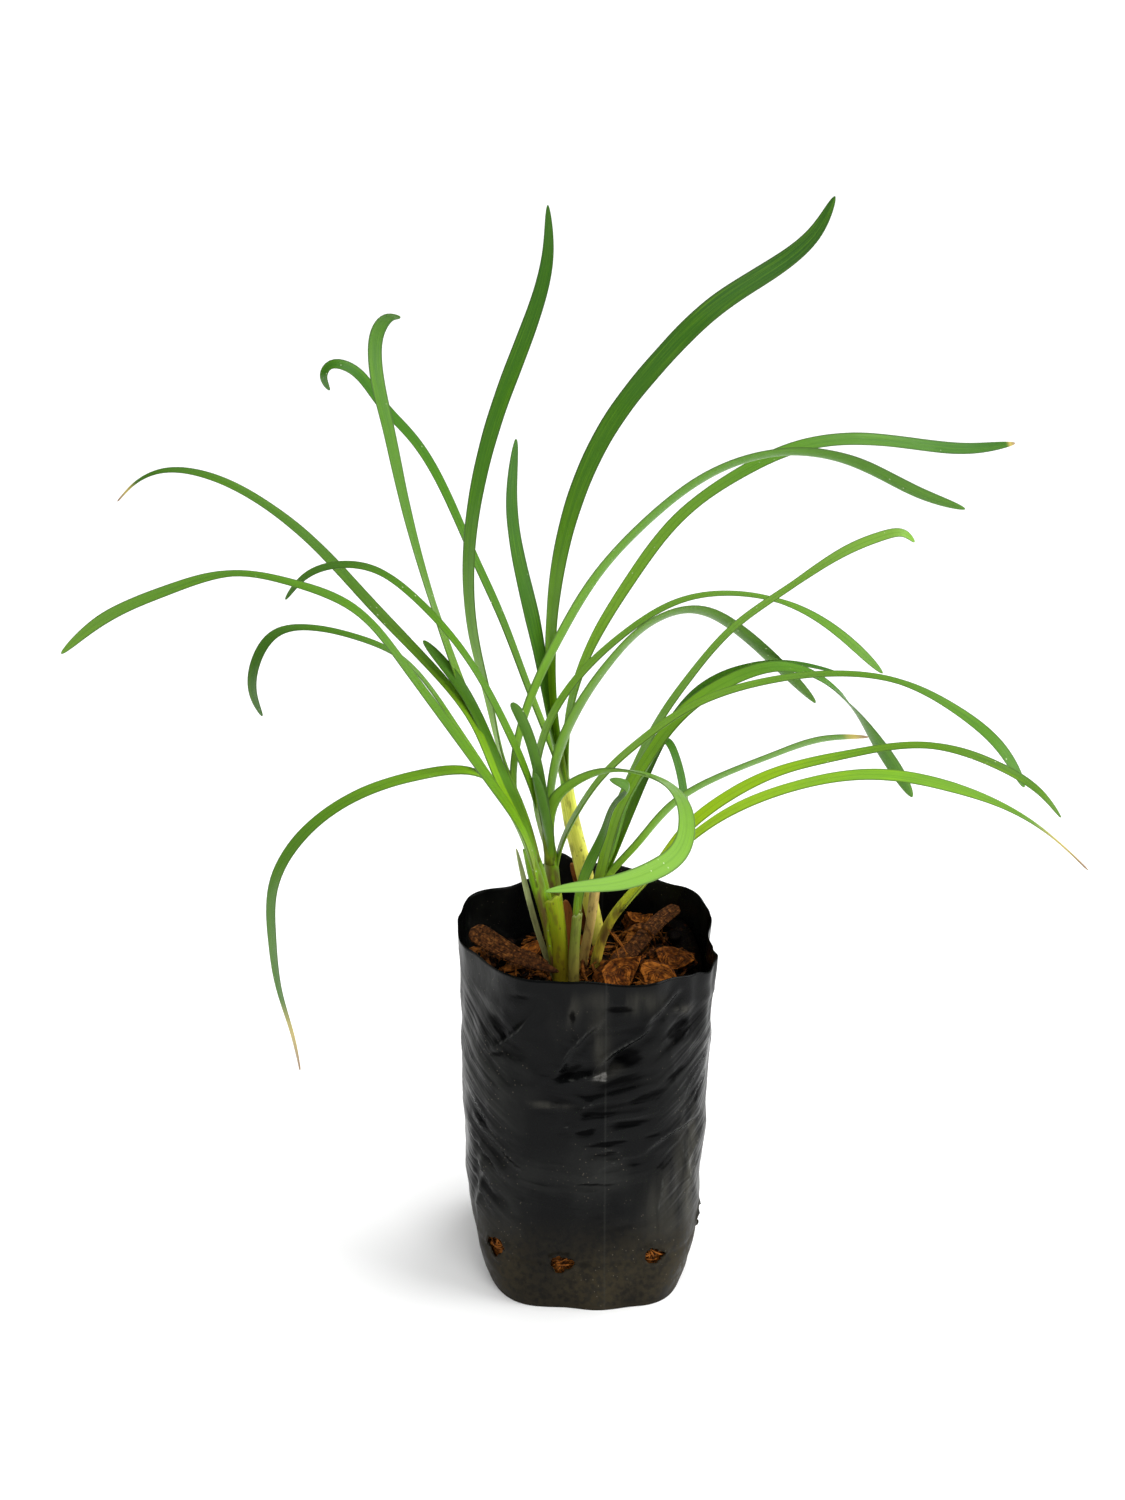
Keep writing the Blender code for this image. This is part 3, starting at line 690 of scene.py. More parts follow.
@dataclass(frozen=True)
class FilmFinish:
    """Thin black film: creased, with painted shade in its hollows and wrinkle valleys, lighter ridges
    and folds of scuff and painted highlight, a painted glint, hazy streaks in places and dust at the
    foot.
    """

    slot: str = "black_film"
    black: Colour = (0.0029, 0.0031, 0.0032)
    # Painted shade: near black laid into the hollows and the wrinkle valleys.
    painted_shade: Colour = (0.0010, 0.0010, 0.0011)
    # Lighter grey: partly scuffed film and partly painted highlight on ridges, creases and folds.
    scuff_and_highlight: Colour = (0.046, 0.047, 0.043)
    haze: Colour = (0.044, 0.042, 0.034)
    dust: Colour = (0.038, 0.030, 0.016)
    mote: Colour = (0.14, 0.12, 0.09)
    # Painted highlight: pale grey for the small bright triangle on a fold.
    glint_highlight: Colour = (0.17, 0.165, 0.155)
    dust_top: float = 0.042
    flat_line: float = 0.0076

    def wrinkles(self, shader: Shader, height: object) -> tuple[object, object, object]:
        """Two wrinkle patterns: swags towards the sides, and level ones in seeded patches.

        Args:
            shader: The material's nodes.
            height: The socket of the height.

        Returns:
            The sockets of the pattern, about 0.5, of how far it shows and of the sides' share.
        """
        x, _, _ = shader.axes()
        side = shader.share(shader.math("ABSOLUTE", x), 0.018, 0.036)
        swags = shader.noise(shader.drape(0.85, 8.0), 11.0, 3.0)
        level = shader.noise(shader.drape(0.18, 8.0), 12.0, 3.0)
        patches = shader.noise(shader.place((1.0, 1.0, 1.4)), 26.0, 1.0)
        middle = shader.times(shader.share(patches, 0.46, 0.6), 0.8)
        foot, rim = shader.share(height, 0.024, 0.045), shader.share(height, 0.132, 0.112)
        band = shader.times(foot, rim)
        shown = shader.times(shader.math("MAXIMUM", side, middle), band)
        pattern = shader.tree.nodes.new("ShaderNodeMix")
        shader.feed(side, pattern.inputs[0])
        shader.feed(level, pattern.inputs[2])
        shader.feed(swags, pattern.inputs[3])
        return pattern.outputs[0], shown, side

    def material(self) -> bpy.types.Material:
        """Builds the film's material from its height, folds, hollows, haze and wrinkles, with painted
        shade in the hollows and valleys and painted highlight on the ridges, folds and one small
        triangle.

        Returns:
            The finished material.
        """
        shader = Shader("film_" + self.slot)
        x, _, height = shader.axes()
        cloud = shader.noise(shader.place((1.0, 1.0, 0.7)), 38.0, 5.0)
        fine = shader.noise(shader.place(), 420.0, 5.0)
        streaks = shader.noise(shader.place((1.0, 1.0, 0.16)), 150.0, 4.0)
        folds = shader.number("fold")
        # Soft lighter patches of scuff and painted highlight.
        colour = shader.blend(shader.share(cloud, 0.44, 0.74, (0.0, 0.24)), self.black, self.scuff_and_highlight)
        torn = shader.noise(shader.drape(0.35, 4.0), 52.0, 4.0)
        torn = shader.times(shader.math("SUBTRACT", torn, 0.5), 1.5)
        haze = shader.times(shader.number("haze"), shader.share(streaks, 0.34, 0.62))
        colour = shader.blend(haze, colour, self.haze)
        low = shader.share(height, self.dust_top, 0.008)
        low = shader.times(low, shader.share(cloud, 0.3, 0.62, (0.45, 1.0)))
        low = shader.times(low, shader.share(fine, 0.32, 0.62, (0.35, 1.0)))
        colour = shader.blend(shader.times(low, 0.8), colour, self.dust)
        motes = shader.share(shader.cells(shader.place(), 520.0, "F1"), 0.16, 0.07)
        motes = shader.times(motes, shader.share(cloud, 0.46, 0.6, (0.0, 0.5)))
        colour = shader.blend(motes, colour, self.mote)
        pattern, shown, side = self.wrinkles(shader, height)
        # Wrinkle ridges lightened: partly scuff and partly painted highlight.
        ridge = shader.times(shader.share(pattern, 0.54, 0.68, (0.0, 0.45)), shown)
        ridge = shader.times(ridge, shader.share(side, 0.0, 1.0, (0.3, 1.0)))
        colour = shader.blend(ridge, colour, self.scuff_and_highlight)
        # Painted shade: the wrinkle valleys are darkened towards near black.
        valley_shade = shader.times(shader.share(pattern, 0.47, 0.37, (0.0, 0.8)), shown)
        colour = shader.blend(valley_shade, colour, self.painted_shade)
        # A thin lighter line down a vertical fold: painted highlight.
        off = shader.math("ABSOLUTE", shader.math("SUBTRACT", x, self.flat_line))
        colour = shader.blend(shader.share(off, 0.0006, 0.0001, (0.0, 0.16)), colour, self.scuff_and_highlight)
        # Fold crests lightened: painted highlight with some scuff.
        crest = shader.share(folds, 0.45, 0.95, (0.0, 0.75))
        crest = shader.times(crest, shader.share(fine, 0.3, 0.56))
        colour = shader.blend(crest, colour, self.scuff_and_highlight)
        # Painted shade: the hollows, frayed by noise, are darkened almost to black.
        pit_shade = shader.share(shader.math("ADD", shader.number("hollow"), torn), 0.2, 0.75)
        colour = shader.blend(shader.times(pit_shade, 0.92), colour, self.painted_shade)
        # Painted highlight: the small triangle on a fold, frayed by noise, turns pale grey.
        glint_highlight = shader.math("ADD", shader.number("glint"), shader.times(torn, 0.7))
        glint_highlight = shader.share(glint_highlight, 0.3, 0.9, (0.0, 0.8))
        glint_highlight = shader.times(glint_highlight, shader.share(fine, 0.25, 0.6))
        glint_highlight = shader.times(glint_highlight, shader.share(shader.number("glint"), 0.0, 0.3))
        colour = shader.blend(glint_highlight, colour, self.glint_highlight)
        deep = shader.times(shader.math("SUBTRACT", pattern, 0.5), shown)
        relief = shader.bump(shader.noise(shader.drape(0.3, 1.7), 15.0, 2.0), 0.6, 0.007)
        relief = shader.bump(deep, 0.8, 0.0042, relief)
        relief = shader.bump(cloud, 0.5, 0.0020, relief)
        relief = shader.bump(fine, 0.08, 0.0002, relief)
        rough = shader.share(cloud, 0.32, 0.66, (0.22, 0.36))
        rough = shader.math("ADD", rough, shader.times(low, 0.35))
        dull = shader.math("MAXIMUM", pit_shade, valley_shade)
        return shader.finish(colour, rough, relief, shader.share(dull, 0.0, 1.0, (0.075, 0.02)))


@dataclass(frozen=True)
class FloorFinish:
    """A matt white studio floor with the faintest mottle."""

    white: Colour = (0.97, 0.97, 0.97)

    def material(self) -> bpy.types.Material:
        """Builds the floor's material.

        Returns:
            The finished material.
        """
        shader = Shader("studio_floor")
        mottle = shader.noise(shader.place(), 3.0, 2.0)
        colour = shader.blend(mottle, self.white, tuple(part * 0.985 for part in self.white))
        return shader.finish(colour, 0.9, shader.bump(mottle, 0.02, 0.0005))


Finish = LeafFinish | SheathFinish | BarkFinish | FilmFinish


def dress(piece: bpy.types.Object, finish: Finish, *nodes: str) -> None:
    """Gives a piece its material, seats it on the root body and lets it stand for its CAD nodes.

    Args:
        piece: The piece.
        finish: Its finish, whose slot also names the material.
        nodes: The CAD nodes it stands for.
    """
    piece.data.materials.clear()
    piece.data.materials.append(finish.material())
    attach(piece, "root")
    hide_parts(*nodes)
    LOG.info("%s: %d faces", piece.name, len(piece.data.polygons))


# Bag


@dataclass(frozen=True)
class Level:
    """One level of the bag: its height, half widths, squareness and sideways shift."""

    height: float
    half_x: float
    half_y: float
    square: float
    shift: float


@dataclass(frozen=True)
class Fold:
    """A crease in the film from one angle and height to another, with a dent beside it."""

    start: tuple[float, float]
    end: tuple[float, float]
    rise: float = 0.9
    spread: float = 1.1
    dent: float = 0.8


@dataclass(frozen=True)
class Pull:
    """A place where the film is drawn in or pushed out: its angle, reach and half width."""

    angle: float
    reach: float
    half_width: float


@dataclass(frozen=True)
class Patch:
    """A hollow or a hazy place in the film: its middle, its half sizes, its slope and strength."""

    angle: float
    height: float
    half_width: float
    half_height: float
    slope: float = 0.0
    strength: float = 1.0


@dataclass
class GrowBag:
    """The film bag: a rounded square that is creased, dented and thin at its rim."""

    finish: FilmFinish = FilmFinish()
    film: float = 0.35
    rim: float = 139.0
    sides: int = 336
    levels: tuple[Level, ...] = (
        Level(0, 40.3, 49.4, 3.9, 1.3), Level(4, 41.6, 49.6, 3.8, 1.1),
        Level(12, 43.4, 49.2, 3.5, 0.6), Level(25, 45.8, 48, 3.2, 0.2), Level(40, 47.4, 47.6, 3, 0),
        Level(64, 48, 47.6, 3, 0.2), Level(100, 48.8, 48.2, 3, 0.4), Level(120, 48.6, 48.6, 3.1, 0),
        Level(131, 49.1, 49.1, 3.1, 0), Level(139, 49.5, 49.5, 3.1, 0),
    )
    pulls: tuple[Pull, ...] = (
        Pull(-142, -8, 34), Pull(-108, -2.6, 13), Pull(130, -5.5, 20), Pull(-32, 2.6, 11),
        Pull(-7, -1.8, 16), Pull(60, 1.4, 16), Pull(-52, -1.6, 10), Pull(-26, 1.8, 5),
    )
    drains: tuple[tuple[float, float], ...] = (
        (-131, 22), (-101, 19), (-60, 21), (-23, 24), (34, 17), (79, 20), (120, 16), (165, 19),
    )
    folds: tuple[Fold, ...] = (
        Fold((-90, 98.5), (-61, 123.5), 1.9, 1.3, 1.8), Fold((-68, 117), (-50, 136), 1.5, 1.3, 1.4),
        Fold((-104.5, 99), (-82, 128), 1.3, 1.1, 1.2), Fold((-80, 104.5), (-106, 95), 1.2, 1, 1),
        Fold((-95, 84), (-83, 91), 0.9, 0.9, 0.7), Fold((-111, 129), (-137, 101), 1, 1.1),
        Fold((-88, 57), (-62, 68.5), 0.9, 0.9, 0.6), Fold((-64, 67.5), (-34, 78), 1.2, 1.1, 1.1),
        Fold((-147, 75), (-116, 60), 1.3, 1.1, 1.1), Fold((-150, 66), (-121, 53), 1.2, 1.1, 1),
        Fold((-151, 84), (-128, 73), 1.1, 1), Fold((-150, 57), (-126, 46), 1, 1),
        Fold((-152, 48), (-130, 38), 0.8, 1), Fold((-47, 87), (-28, 102), 1.2, 1, 1),
        Fold((-48, 79), (-27, 92), 1, 1, 1), Fold((-42, 58), (-28, 68), 0.9, 1),
        Fold((-46, 46), (-30, 57), 0.9, 1), Fold((-50, 71), (-38, 42), 1, 1.5, 0.5),
        Fold((-58, 61), (-56, 33), 0.6, 1.5, 0.3), Fold((-139, 67), (-144, 26), 0.9, 1.6),
        Fold((-114, 88), (-100, 86.5), 0.7, 0.8, 0.5), Fold((-106, 79), (-92, 77), 0.6, 0.8, 0.5),
        Fold((-55, 126), (-43, 122), 0.9, 0.9, 0.9), Fold((-59, 112), (-40, 119), 0.9, 0.9),
        Fold((-92, 69), (-66, 66), 0.7, 0.9), Fold((-100, 53), (-73, 53), 0.7, 0.9),
        Fold((150, 120), (112, 92), 1.4, 1.4, 1.2), Fold((100, 130), (84, 88), 1.2, 1.3, 1),
        Fold((60, 126), (94, 100), 1.2, 1.3, 1), Fold((20, 118), (48, 84), 1.3, 1.3, 1.1),
        Fold((-4, 128), (26, 96), 1.2, 1.3, 1), Fold((176, 124), (150, 88), 1.3, 1.3, 1.1),
        Fold((133, 80), (134, 24), 0.9, 1.7, 0.5), Fold((45, 82), (44, 22), 0.9, 1.7, 0.5),
    )
    # Each hollow dents the film and is also darkened by painted shade in the film's colour.
    hollows: tuple[Patch, ...] = (
        Patch(-71, 107.3, 5.6, 3.2, 0.2), Patch(-74, 97, 13, 3.4, 0.22, 0.75),
        Patch(-83, 84, 9.5, 1.3, 0.1, 0.85), Patch(-72, 79.5, 9, 1.4, 0.1, 0.75),
        Patch(-89.5, 76, 4, 1, 0.15, 0.9), Patch(-80, 70.8, 9.5, 1.2, 0.08, 0.9),
        Patch(-80, 66.3, 8, 1, 0.05, 0.7), Patch(-49.6, 116, 5.5, 3.6, 0.3, 1),
        Patch(-98, 101, 6, 3, 0.6, 0.8), Patch(-96, 123, 1.4, 5.5, 0, 0.75),
        Patch(-75.4, 128.4, 5.5, 1.3, 0, 0.8), Patch(-86.5, 52.8, 9, 0.8, 0, 0.7),
        Patch(-131, 117, 6, 4, -0.3, 0.7), Patch(-130, 105.5, 4.5, 1.4, 0.4, 0.7),
        Patch(-60, 73, 5, 1.2, 0.2, 0.65), Patch(-63, 91, 9, 2, 0.35, 0.65),
        Patch(-50, 98, 6, 2, 0.5, 0.6), Patch(-124, 62, 6, 1.4, -0.6, 0.6),
        Patch(-135, 58, 6, 1.3, -0.6, 0.6), Patch(-118, 131, 6, 1.5, 0.1, 0.7),
    )
    hazes: tuple[Patch, ...] = (
        Patch(-74, 131, 13, 5, 0, 0.6), Patch(-84, 116, 4, 14, 0, 0.55),
        Patch(-98, 127, 5, 6, 0.4, 0.5), Patch(-82, 101, 7, 3, 0.3, 0.4),
        Patch(-40, 52, 7, 24, 0, 1), Patch(-54, 40, 8, 16, 0, 0.5),
        Patch(-48, 124.5, 5, 1.8, -0.2, 0.8), Patch(-107, 87.5, 8, 1.4, -0.08, 0.6),
    )
    # Corners of the small triangle where a painted highlight lies on a fold.
    bright_fold: tuple[tuple[float, float], ...] = ((-90.5, 98.4), (-80.4, 97.8), (-81.2, 101.8))
    rim_rises: tuple[Pull, ...] = (
        Pull(84, 7.5, 36), Pull(102, 7, 13), Pull(-34, -2.2, 7),
    )
    foot_pulls: tuple[Pull, ...] = (
        Pull(-86, 2, 17), Pull(-42, -2.6, 24), Pull(-134, -1.6, 22),
    )
    facets: int = 84
    facet_seed: int = 21
    drain_half_width: float = 4.3
    drain_half_height: float = 3.6

    def base(self, angles: np.ndarray, height: np.ndarray) -> tuple[np.ndarray, np.ndarray, np.ndarray]:
        """Plan of the bag: the reach at an angle is (|cos / a|^n + |sin / b|^n)^(-1 / n).

        Args:
            angles: Angles in degrees about the bag's middle.
            height: Heights, of the same shape.

        Returns:
            The reach from the middle, the angles in radians and the sideways shift.
        """
        heights = [level.height for level in self.levels]
        half_x, half_y, power, shift = (
            np.interp(height, heights, [getattr(level, name) for level in self.levels])
            for name in ("half_x", "half_y", "square", "shift")
        )
        turn = np.radians(angles)
        spread = np.abs(np.cos(turn) / half_x) ** power + np.abs(np.sin(turn) / half_y) ** power
        return spread ** (-1.0 / power), turn, shift

    def near(self, angles: np.ndarray, middle: float, half_width: float) -> np.ndarray:
        """A smooth hump of height 1 about one angle."""
        return 1.0 - smoothstep(np.abs(turned_from(angles, middle)) / half_width)

    def patched(self, patches: tuple[Patch, ...], angles: np.ndarray, height: np.ndarray) -> np.ndarray:
        """The strongest of some patches at each point.

        A patch is its strength times e^-(r^3), for r^2 = (u / half width)^2 + (v / half
        height)^2, with u round the bag from its middle and v up from its sloping line.

        Args:
            patches: The hollows or the hazy places.
            angles: Angles in degrees.
            height: Heights, of the same shape.

        Returns:
            A number from 0 to 1 for each point.
        """
        best = np.zeros_like(height)
        for patch in patches:
            u = turned_from(angles, patch.angle) * PER_DEGREE
            v = height - patch.height - patch.slope * u
            r = np.hypot(u / patch.half_width, v / patch.half_height)
            best = np.maximum(best, patch.strength * np.exp(-np.minimum(r, 4.0) ** 3))
        return best

    def in_bright_fold(self, angles: np.ndarray, height: np.ndarray) -> np.ndarray:
        """The small triangle on a fold where a painted highlight lies: 1 inside, 0 beyond its edge.

        Args:
            angles: Angles in degrees.
            height: Heights, of the same shape.

        Returns:
            A number from 0 to 1 for each point.
        """
        corners = np.array(self.bright_fold)
        inside = np.ones_like(height)
        for (a0, h0), (a1, h1) in zip(corners, np.roll(corners, -1, axis=0)):
            run = np.array([(a1 - a0) * PER_DEGREE, h1 - h0])
            u, v = (angles - a0) * PER_DEGREE, height - h0
            off = (run[0] * v - run[1] * u) / np.hypot(*run)
            inside = np.minimum(inside, np.clip(off + 0.5, 0.0, 1.0))
        return inside

    def relief(self, angles: np.ndarray, height: np.ndarray) -> tuple[np.ndarray, np.ndarray]:
        """How far the film stands out of its plan, and how sharp its folds are.

        It is the sum of soft lumps, dented facets between ridges, the rim's pulls and flutes,
        the hollows, a line pressed round the foot, and the folds, each a sharp crest beside
        a round dent that fades at both ends. It is held back at the very foot.

        Args:
            angles: Angles in degrees.
            height: Heights, of the same shape.

        Returns:
            The offset in millimetres and a sharpness from 0 to 1.
        """
        turn = np.radians(angles)
        level = np.clip(height, 0.0, self.rim)
        plan = np.stack([BAG_RADIUS * np.cos(turn), BAG_RADIUS * np.sin(turn), level], axis=-1)
        out = 0.9 * random_waves(plan, 46.0, 3) + 0.4 * random_waves(plan, 19.0, 5)
        border = self.facet_border(plan)
        strength = np.interp(level, [0.0, 20.0, 40.0, 110.0, 139.0], [0.3, 0.5, 1.0, 1.0, 0.6])
        facet = np.minimum(border / 13.0, 1.0) ** 0.8
        out = out - 0.9 * strength * facet
        sharp = 0.35 * strength * np.exp(-border / 0.9)
        out = out - 0.9 * self.patched(self.hollows, angles, level)
        for fold in self.folds:
            crest, ridge = self.crease(fold, angles, level)
            out = out + crest
            sharp = np.maximum(sharp, ridge)
        out = out + smoothstep((level - 88.0) / (self.rim - 88.0)) * self.pulled(self.pulls, angles)
        flutes = random_waves(plan * (1.0, 1.0, 0.1), 15.0, 9)
        out = out + smoothstep((level - 118.0) / 21.0) * 0.6 * flutes
        pressed_line = np.exp(-(((level - 19.5) / 1.1) ** 2))
        out = out - 0.45 * pressed_line
        hold = smoothstep(height / 5.0)
        low = smoothstep(1.0 - level / 18.0)
        foot = self.pulled(self.foot_pulls, angles)
        return out * (0.25 + 0.75 * hold) + foot * low, sharp

    def facet_border(self, plan: np.ndarray) -> np.ndarray:
        """How far each point is from the ridges between the film's facets.

        It is the gap between the distances to the nearest and the next nearest of many
        seeded middles, measured in a space that is skewed so that the facets slant.

        Args:
            plan: Points on a plain round wall, as ... x 3.

        Returns:
            The gap, 0 on a ridge.
        """
        rng = np.random.default_rng(self.facet_seed)
        turn = rng.uniform(0.0, 2.0 * math.pi, self.facets)
        height = rng.uniform(0.0, 142.0, self.facets)
        middles = np.stack([BAG_RADIUS * np.cos(turn), BAG_RADIUS * np.sin(turn), height], axis=-1)
        skew = np.array([[1.0, 0.0, 0.35], [0.0, 1.0, 0.35], [0.0, 0.0, 1.25]])
        flat = (plan @ skew).reshape(-1, 3)
        gaps = np.linalg.norm(flat[:, None] - (middles @ skew)[None], axis=-1)
        gaps = np.sort(np.partition(gaps, 1, axis=1)[:, :2], axis=1)
        return (gaps[:, 1] - gaps[:, 0]).reshape(plan.shape[:-1])

    def pulled(self, pulls: tuple[Pull, ...], angles: np.ndarray) -> np.ndarray:
        """The sum of some pulls, each its reach times a smooth hump about its angle."""
        return sum(pull.reach * self.near(angles, pull.angle, pull.half_width) for pull in pulls)

    def crease(
        self, fold: Fold, angles: np.ndarray, level: np.ndarray
    ) -> tuple[np.ndarray, np.ndarray]:
        """One fold: rise e^(-|d| / spread) less a round dent on one side, faded by sin(pi t)^0.6.

        Args:
            fold: The fold.
            angles: Angles in degrees.
            level: Heights.

        Returns:
            The fold's height and its sharpness.
        """
        start, end = np.array(fold.start, float), np.array(fold.end, float)
        run = np.array([(end[0] - start[0]) * PER_DEGREE, end[1] - start[1]])
        length = float(np.hypot(*run))
        u, v = turned_from(angles, start[0]) * PER_DEGREE, level - start[1]
        t = (u * run[0] + v * run[1]) / length**2
        bow = 1.4 * np.sin(math.pi * np.clip(t, 0.0, 1.0) * 1.5) * min(length / 30.0, 1.0)
        d = (u * run[1] - v * run[0]) / length + bow
        fade = np.sin(math.pi * np.clip(t, 0.0, 1.0)) ** 0.6
        crest = np.exp(-np.abs(d) / fold.spread)
        dent = np.exp(-(((d - 2.4 * fold.spread) / (1.7 * fold.spread)) ** 2))
        return fade * (fold.rise * crest - fold.dent * dent), fade * crest**1.5

    def wall(self, angles: np.ndarray, height: np.ndarray, inset: np.ndarray | float = 0.0) -> tuple:
        """Points of the film: the plan, moved out by the relief, with the rear rim raised.

        Args:
            angles: Angles in degrees.
            height: Heights, of the same shape.
            inset: How far inside the film the points lie.

        Returns:
            The points and the sharpness of the folds.
        """
        reach, turn, shift = self.base(angles, height)
        out, sharp = self.relief(angles, height)
        reach = reach + out - inset
        bend = np.clip((height - 100.0) / (self.rim - 100.0), 0.0, None) ** 2
        waves = 0.8 * np.sin(turn * 3.0 + 0.6) + 0.5 * np.sin(turn * 11.0)
        rise = self.pulled(self.rim_rises, angles) + waves
        x, y = reach * np.cos(turn) + shift, reach * np.sin(turn)
        return np.stack([x, y, height + rise * bend], axis=-1), sharp

    def rows(self) -> np.ndarray:
        """Heights of the rings, closer together at the foot, the drain holes and the rim.

        Returns:
            The rising heights.
        """
        foot = np.array([0.0, 0.5, 1.4, 2.8, 4.4, 6.2, 8.2])
        drains, wall = np.linspace(9.8, 26.0, 19), np.linspace(27.4, 128.0, 72)
        return np.concatenate([foot, drains, wall, np.linspace(129.3, self.rim, 9)])

    def film_surface(self) -> Surface:
        """The film as one sheet: the base drawn in to its middle, then the wall up to the rim.

        Points near the outline of a drain hole move onto it, and the faces inside are left
        out. A hole is wide and low, with pointed ends, and its lips stand a little proud.

        Returns:
            The open sheet, its faces outward.
        """
        rows = self.rows()
        angles, height = np.meshgrid(
            np.linspace(-180.0, 180.0, self.sides, endpoint=False), rows, indexing="xy"
        )
        lips = np.zeros_like(height)
        inside = np.zeros(height.shape, bool)
        for order, (angle, level) in enumerate(self.drains):
            u = turned_from(angles, angle) * PER_DEGREE
            v = height - level
            wide = self.drain_half_width + 0.4 * math.sin(order * 2.1)
            tall = self.drain_half_height + 0.4 * math.cos(order * 1.7)
            turn = np.arctan2(v, u)
            ragged = 1.0 + 0.12 * np.sin(3.0 * turn + order) + 0.05 * np.sin(8.0 * turn)
            ratio = (np.abs(u / wide) ** 1.5 + np.abs(v / tall) ** 1.5) ** (1.0 / 1.5) / ragged
            snap = np.where(np.abs(ratio - 1.0) < 0.16, 1.0 / np.maximum(ratio, 1e-6), 1.0)
            angles = angles + (snap - 1.0) * u / PER_DEGREE
            height = height + (snap - 1.0) * v
            inside |= ratio * snap < 1.01
            proud = 1.1 + 0.5 * np.sin(order * 3.3 + 4.0 * turn)
            lips += np.exp(-(((ratio - 1.12) / 0.22) ** 2)) * proud
        points, sharp = self.wall(angles, height, inset=-lips * 0.8)
        shares = np.linspace(0.12, 0.97, 8)[:, None, None]
        middle = np.array([1.5, 0.0, 0.0])
        base = middle + (points[0][None] - middle) * shares
        base[..., 2] = 0.0
        rings = np.concatenate([base, points])
        numbers = {
            "fold": sharp,
            "hollow": self.patched(self.hollows, angles, height),
            "haze": self.patched(self.hazes, angles, height),
            "glint": self.in_bright_fold(angles, height),
        }
        count = self.sides
        faces = ring_faces(len(rings), count)
        cut = np.concatenate([np.zeros(base.shape[:2], bool), inside]).reshape(-1)
        faces = faces[~cut[faces].all(axis=1)]
        j = np.arange(count)
        pole = np.stack([(j + 1) % count, j, np.full(count, rings[..., 0].size)], axis=1)
        flat = np.concatenate([rings.reshape(-1, 3), middle[None]])
        plain = np.zeros(base[..., 0].size)
        values = {name: np.r_[plain, grid.reshape(-1), 0.0] for name, grid in numbers.items()}
        return Surface(flat, [faces, pole], values)

    def build(self) -> None:
        """Makes the bag and gives its film a thickness inward."""
        piece = self.film_surface().make("bag_film")
        film = piece.modifiers.new("film", "SOLIDIFY")
        film.thickness = self.film * MM
        film.offset = -1.0
        film.use_even_offset = False
        dress(piece, self.finish, "grow_bag")


# Mix


@dataclass(frozen=True)
class Mound:
    """A rise or hollow in the top of the mix: its middle, its rise and its spread."""

    x: float
    y: float
    rise: float
    spread: float


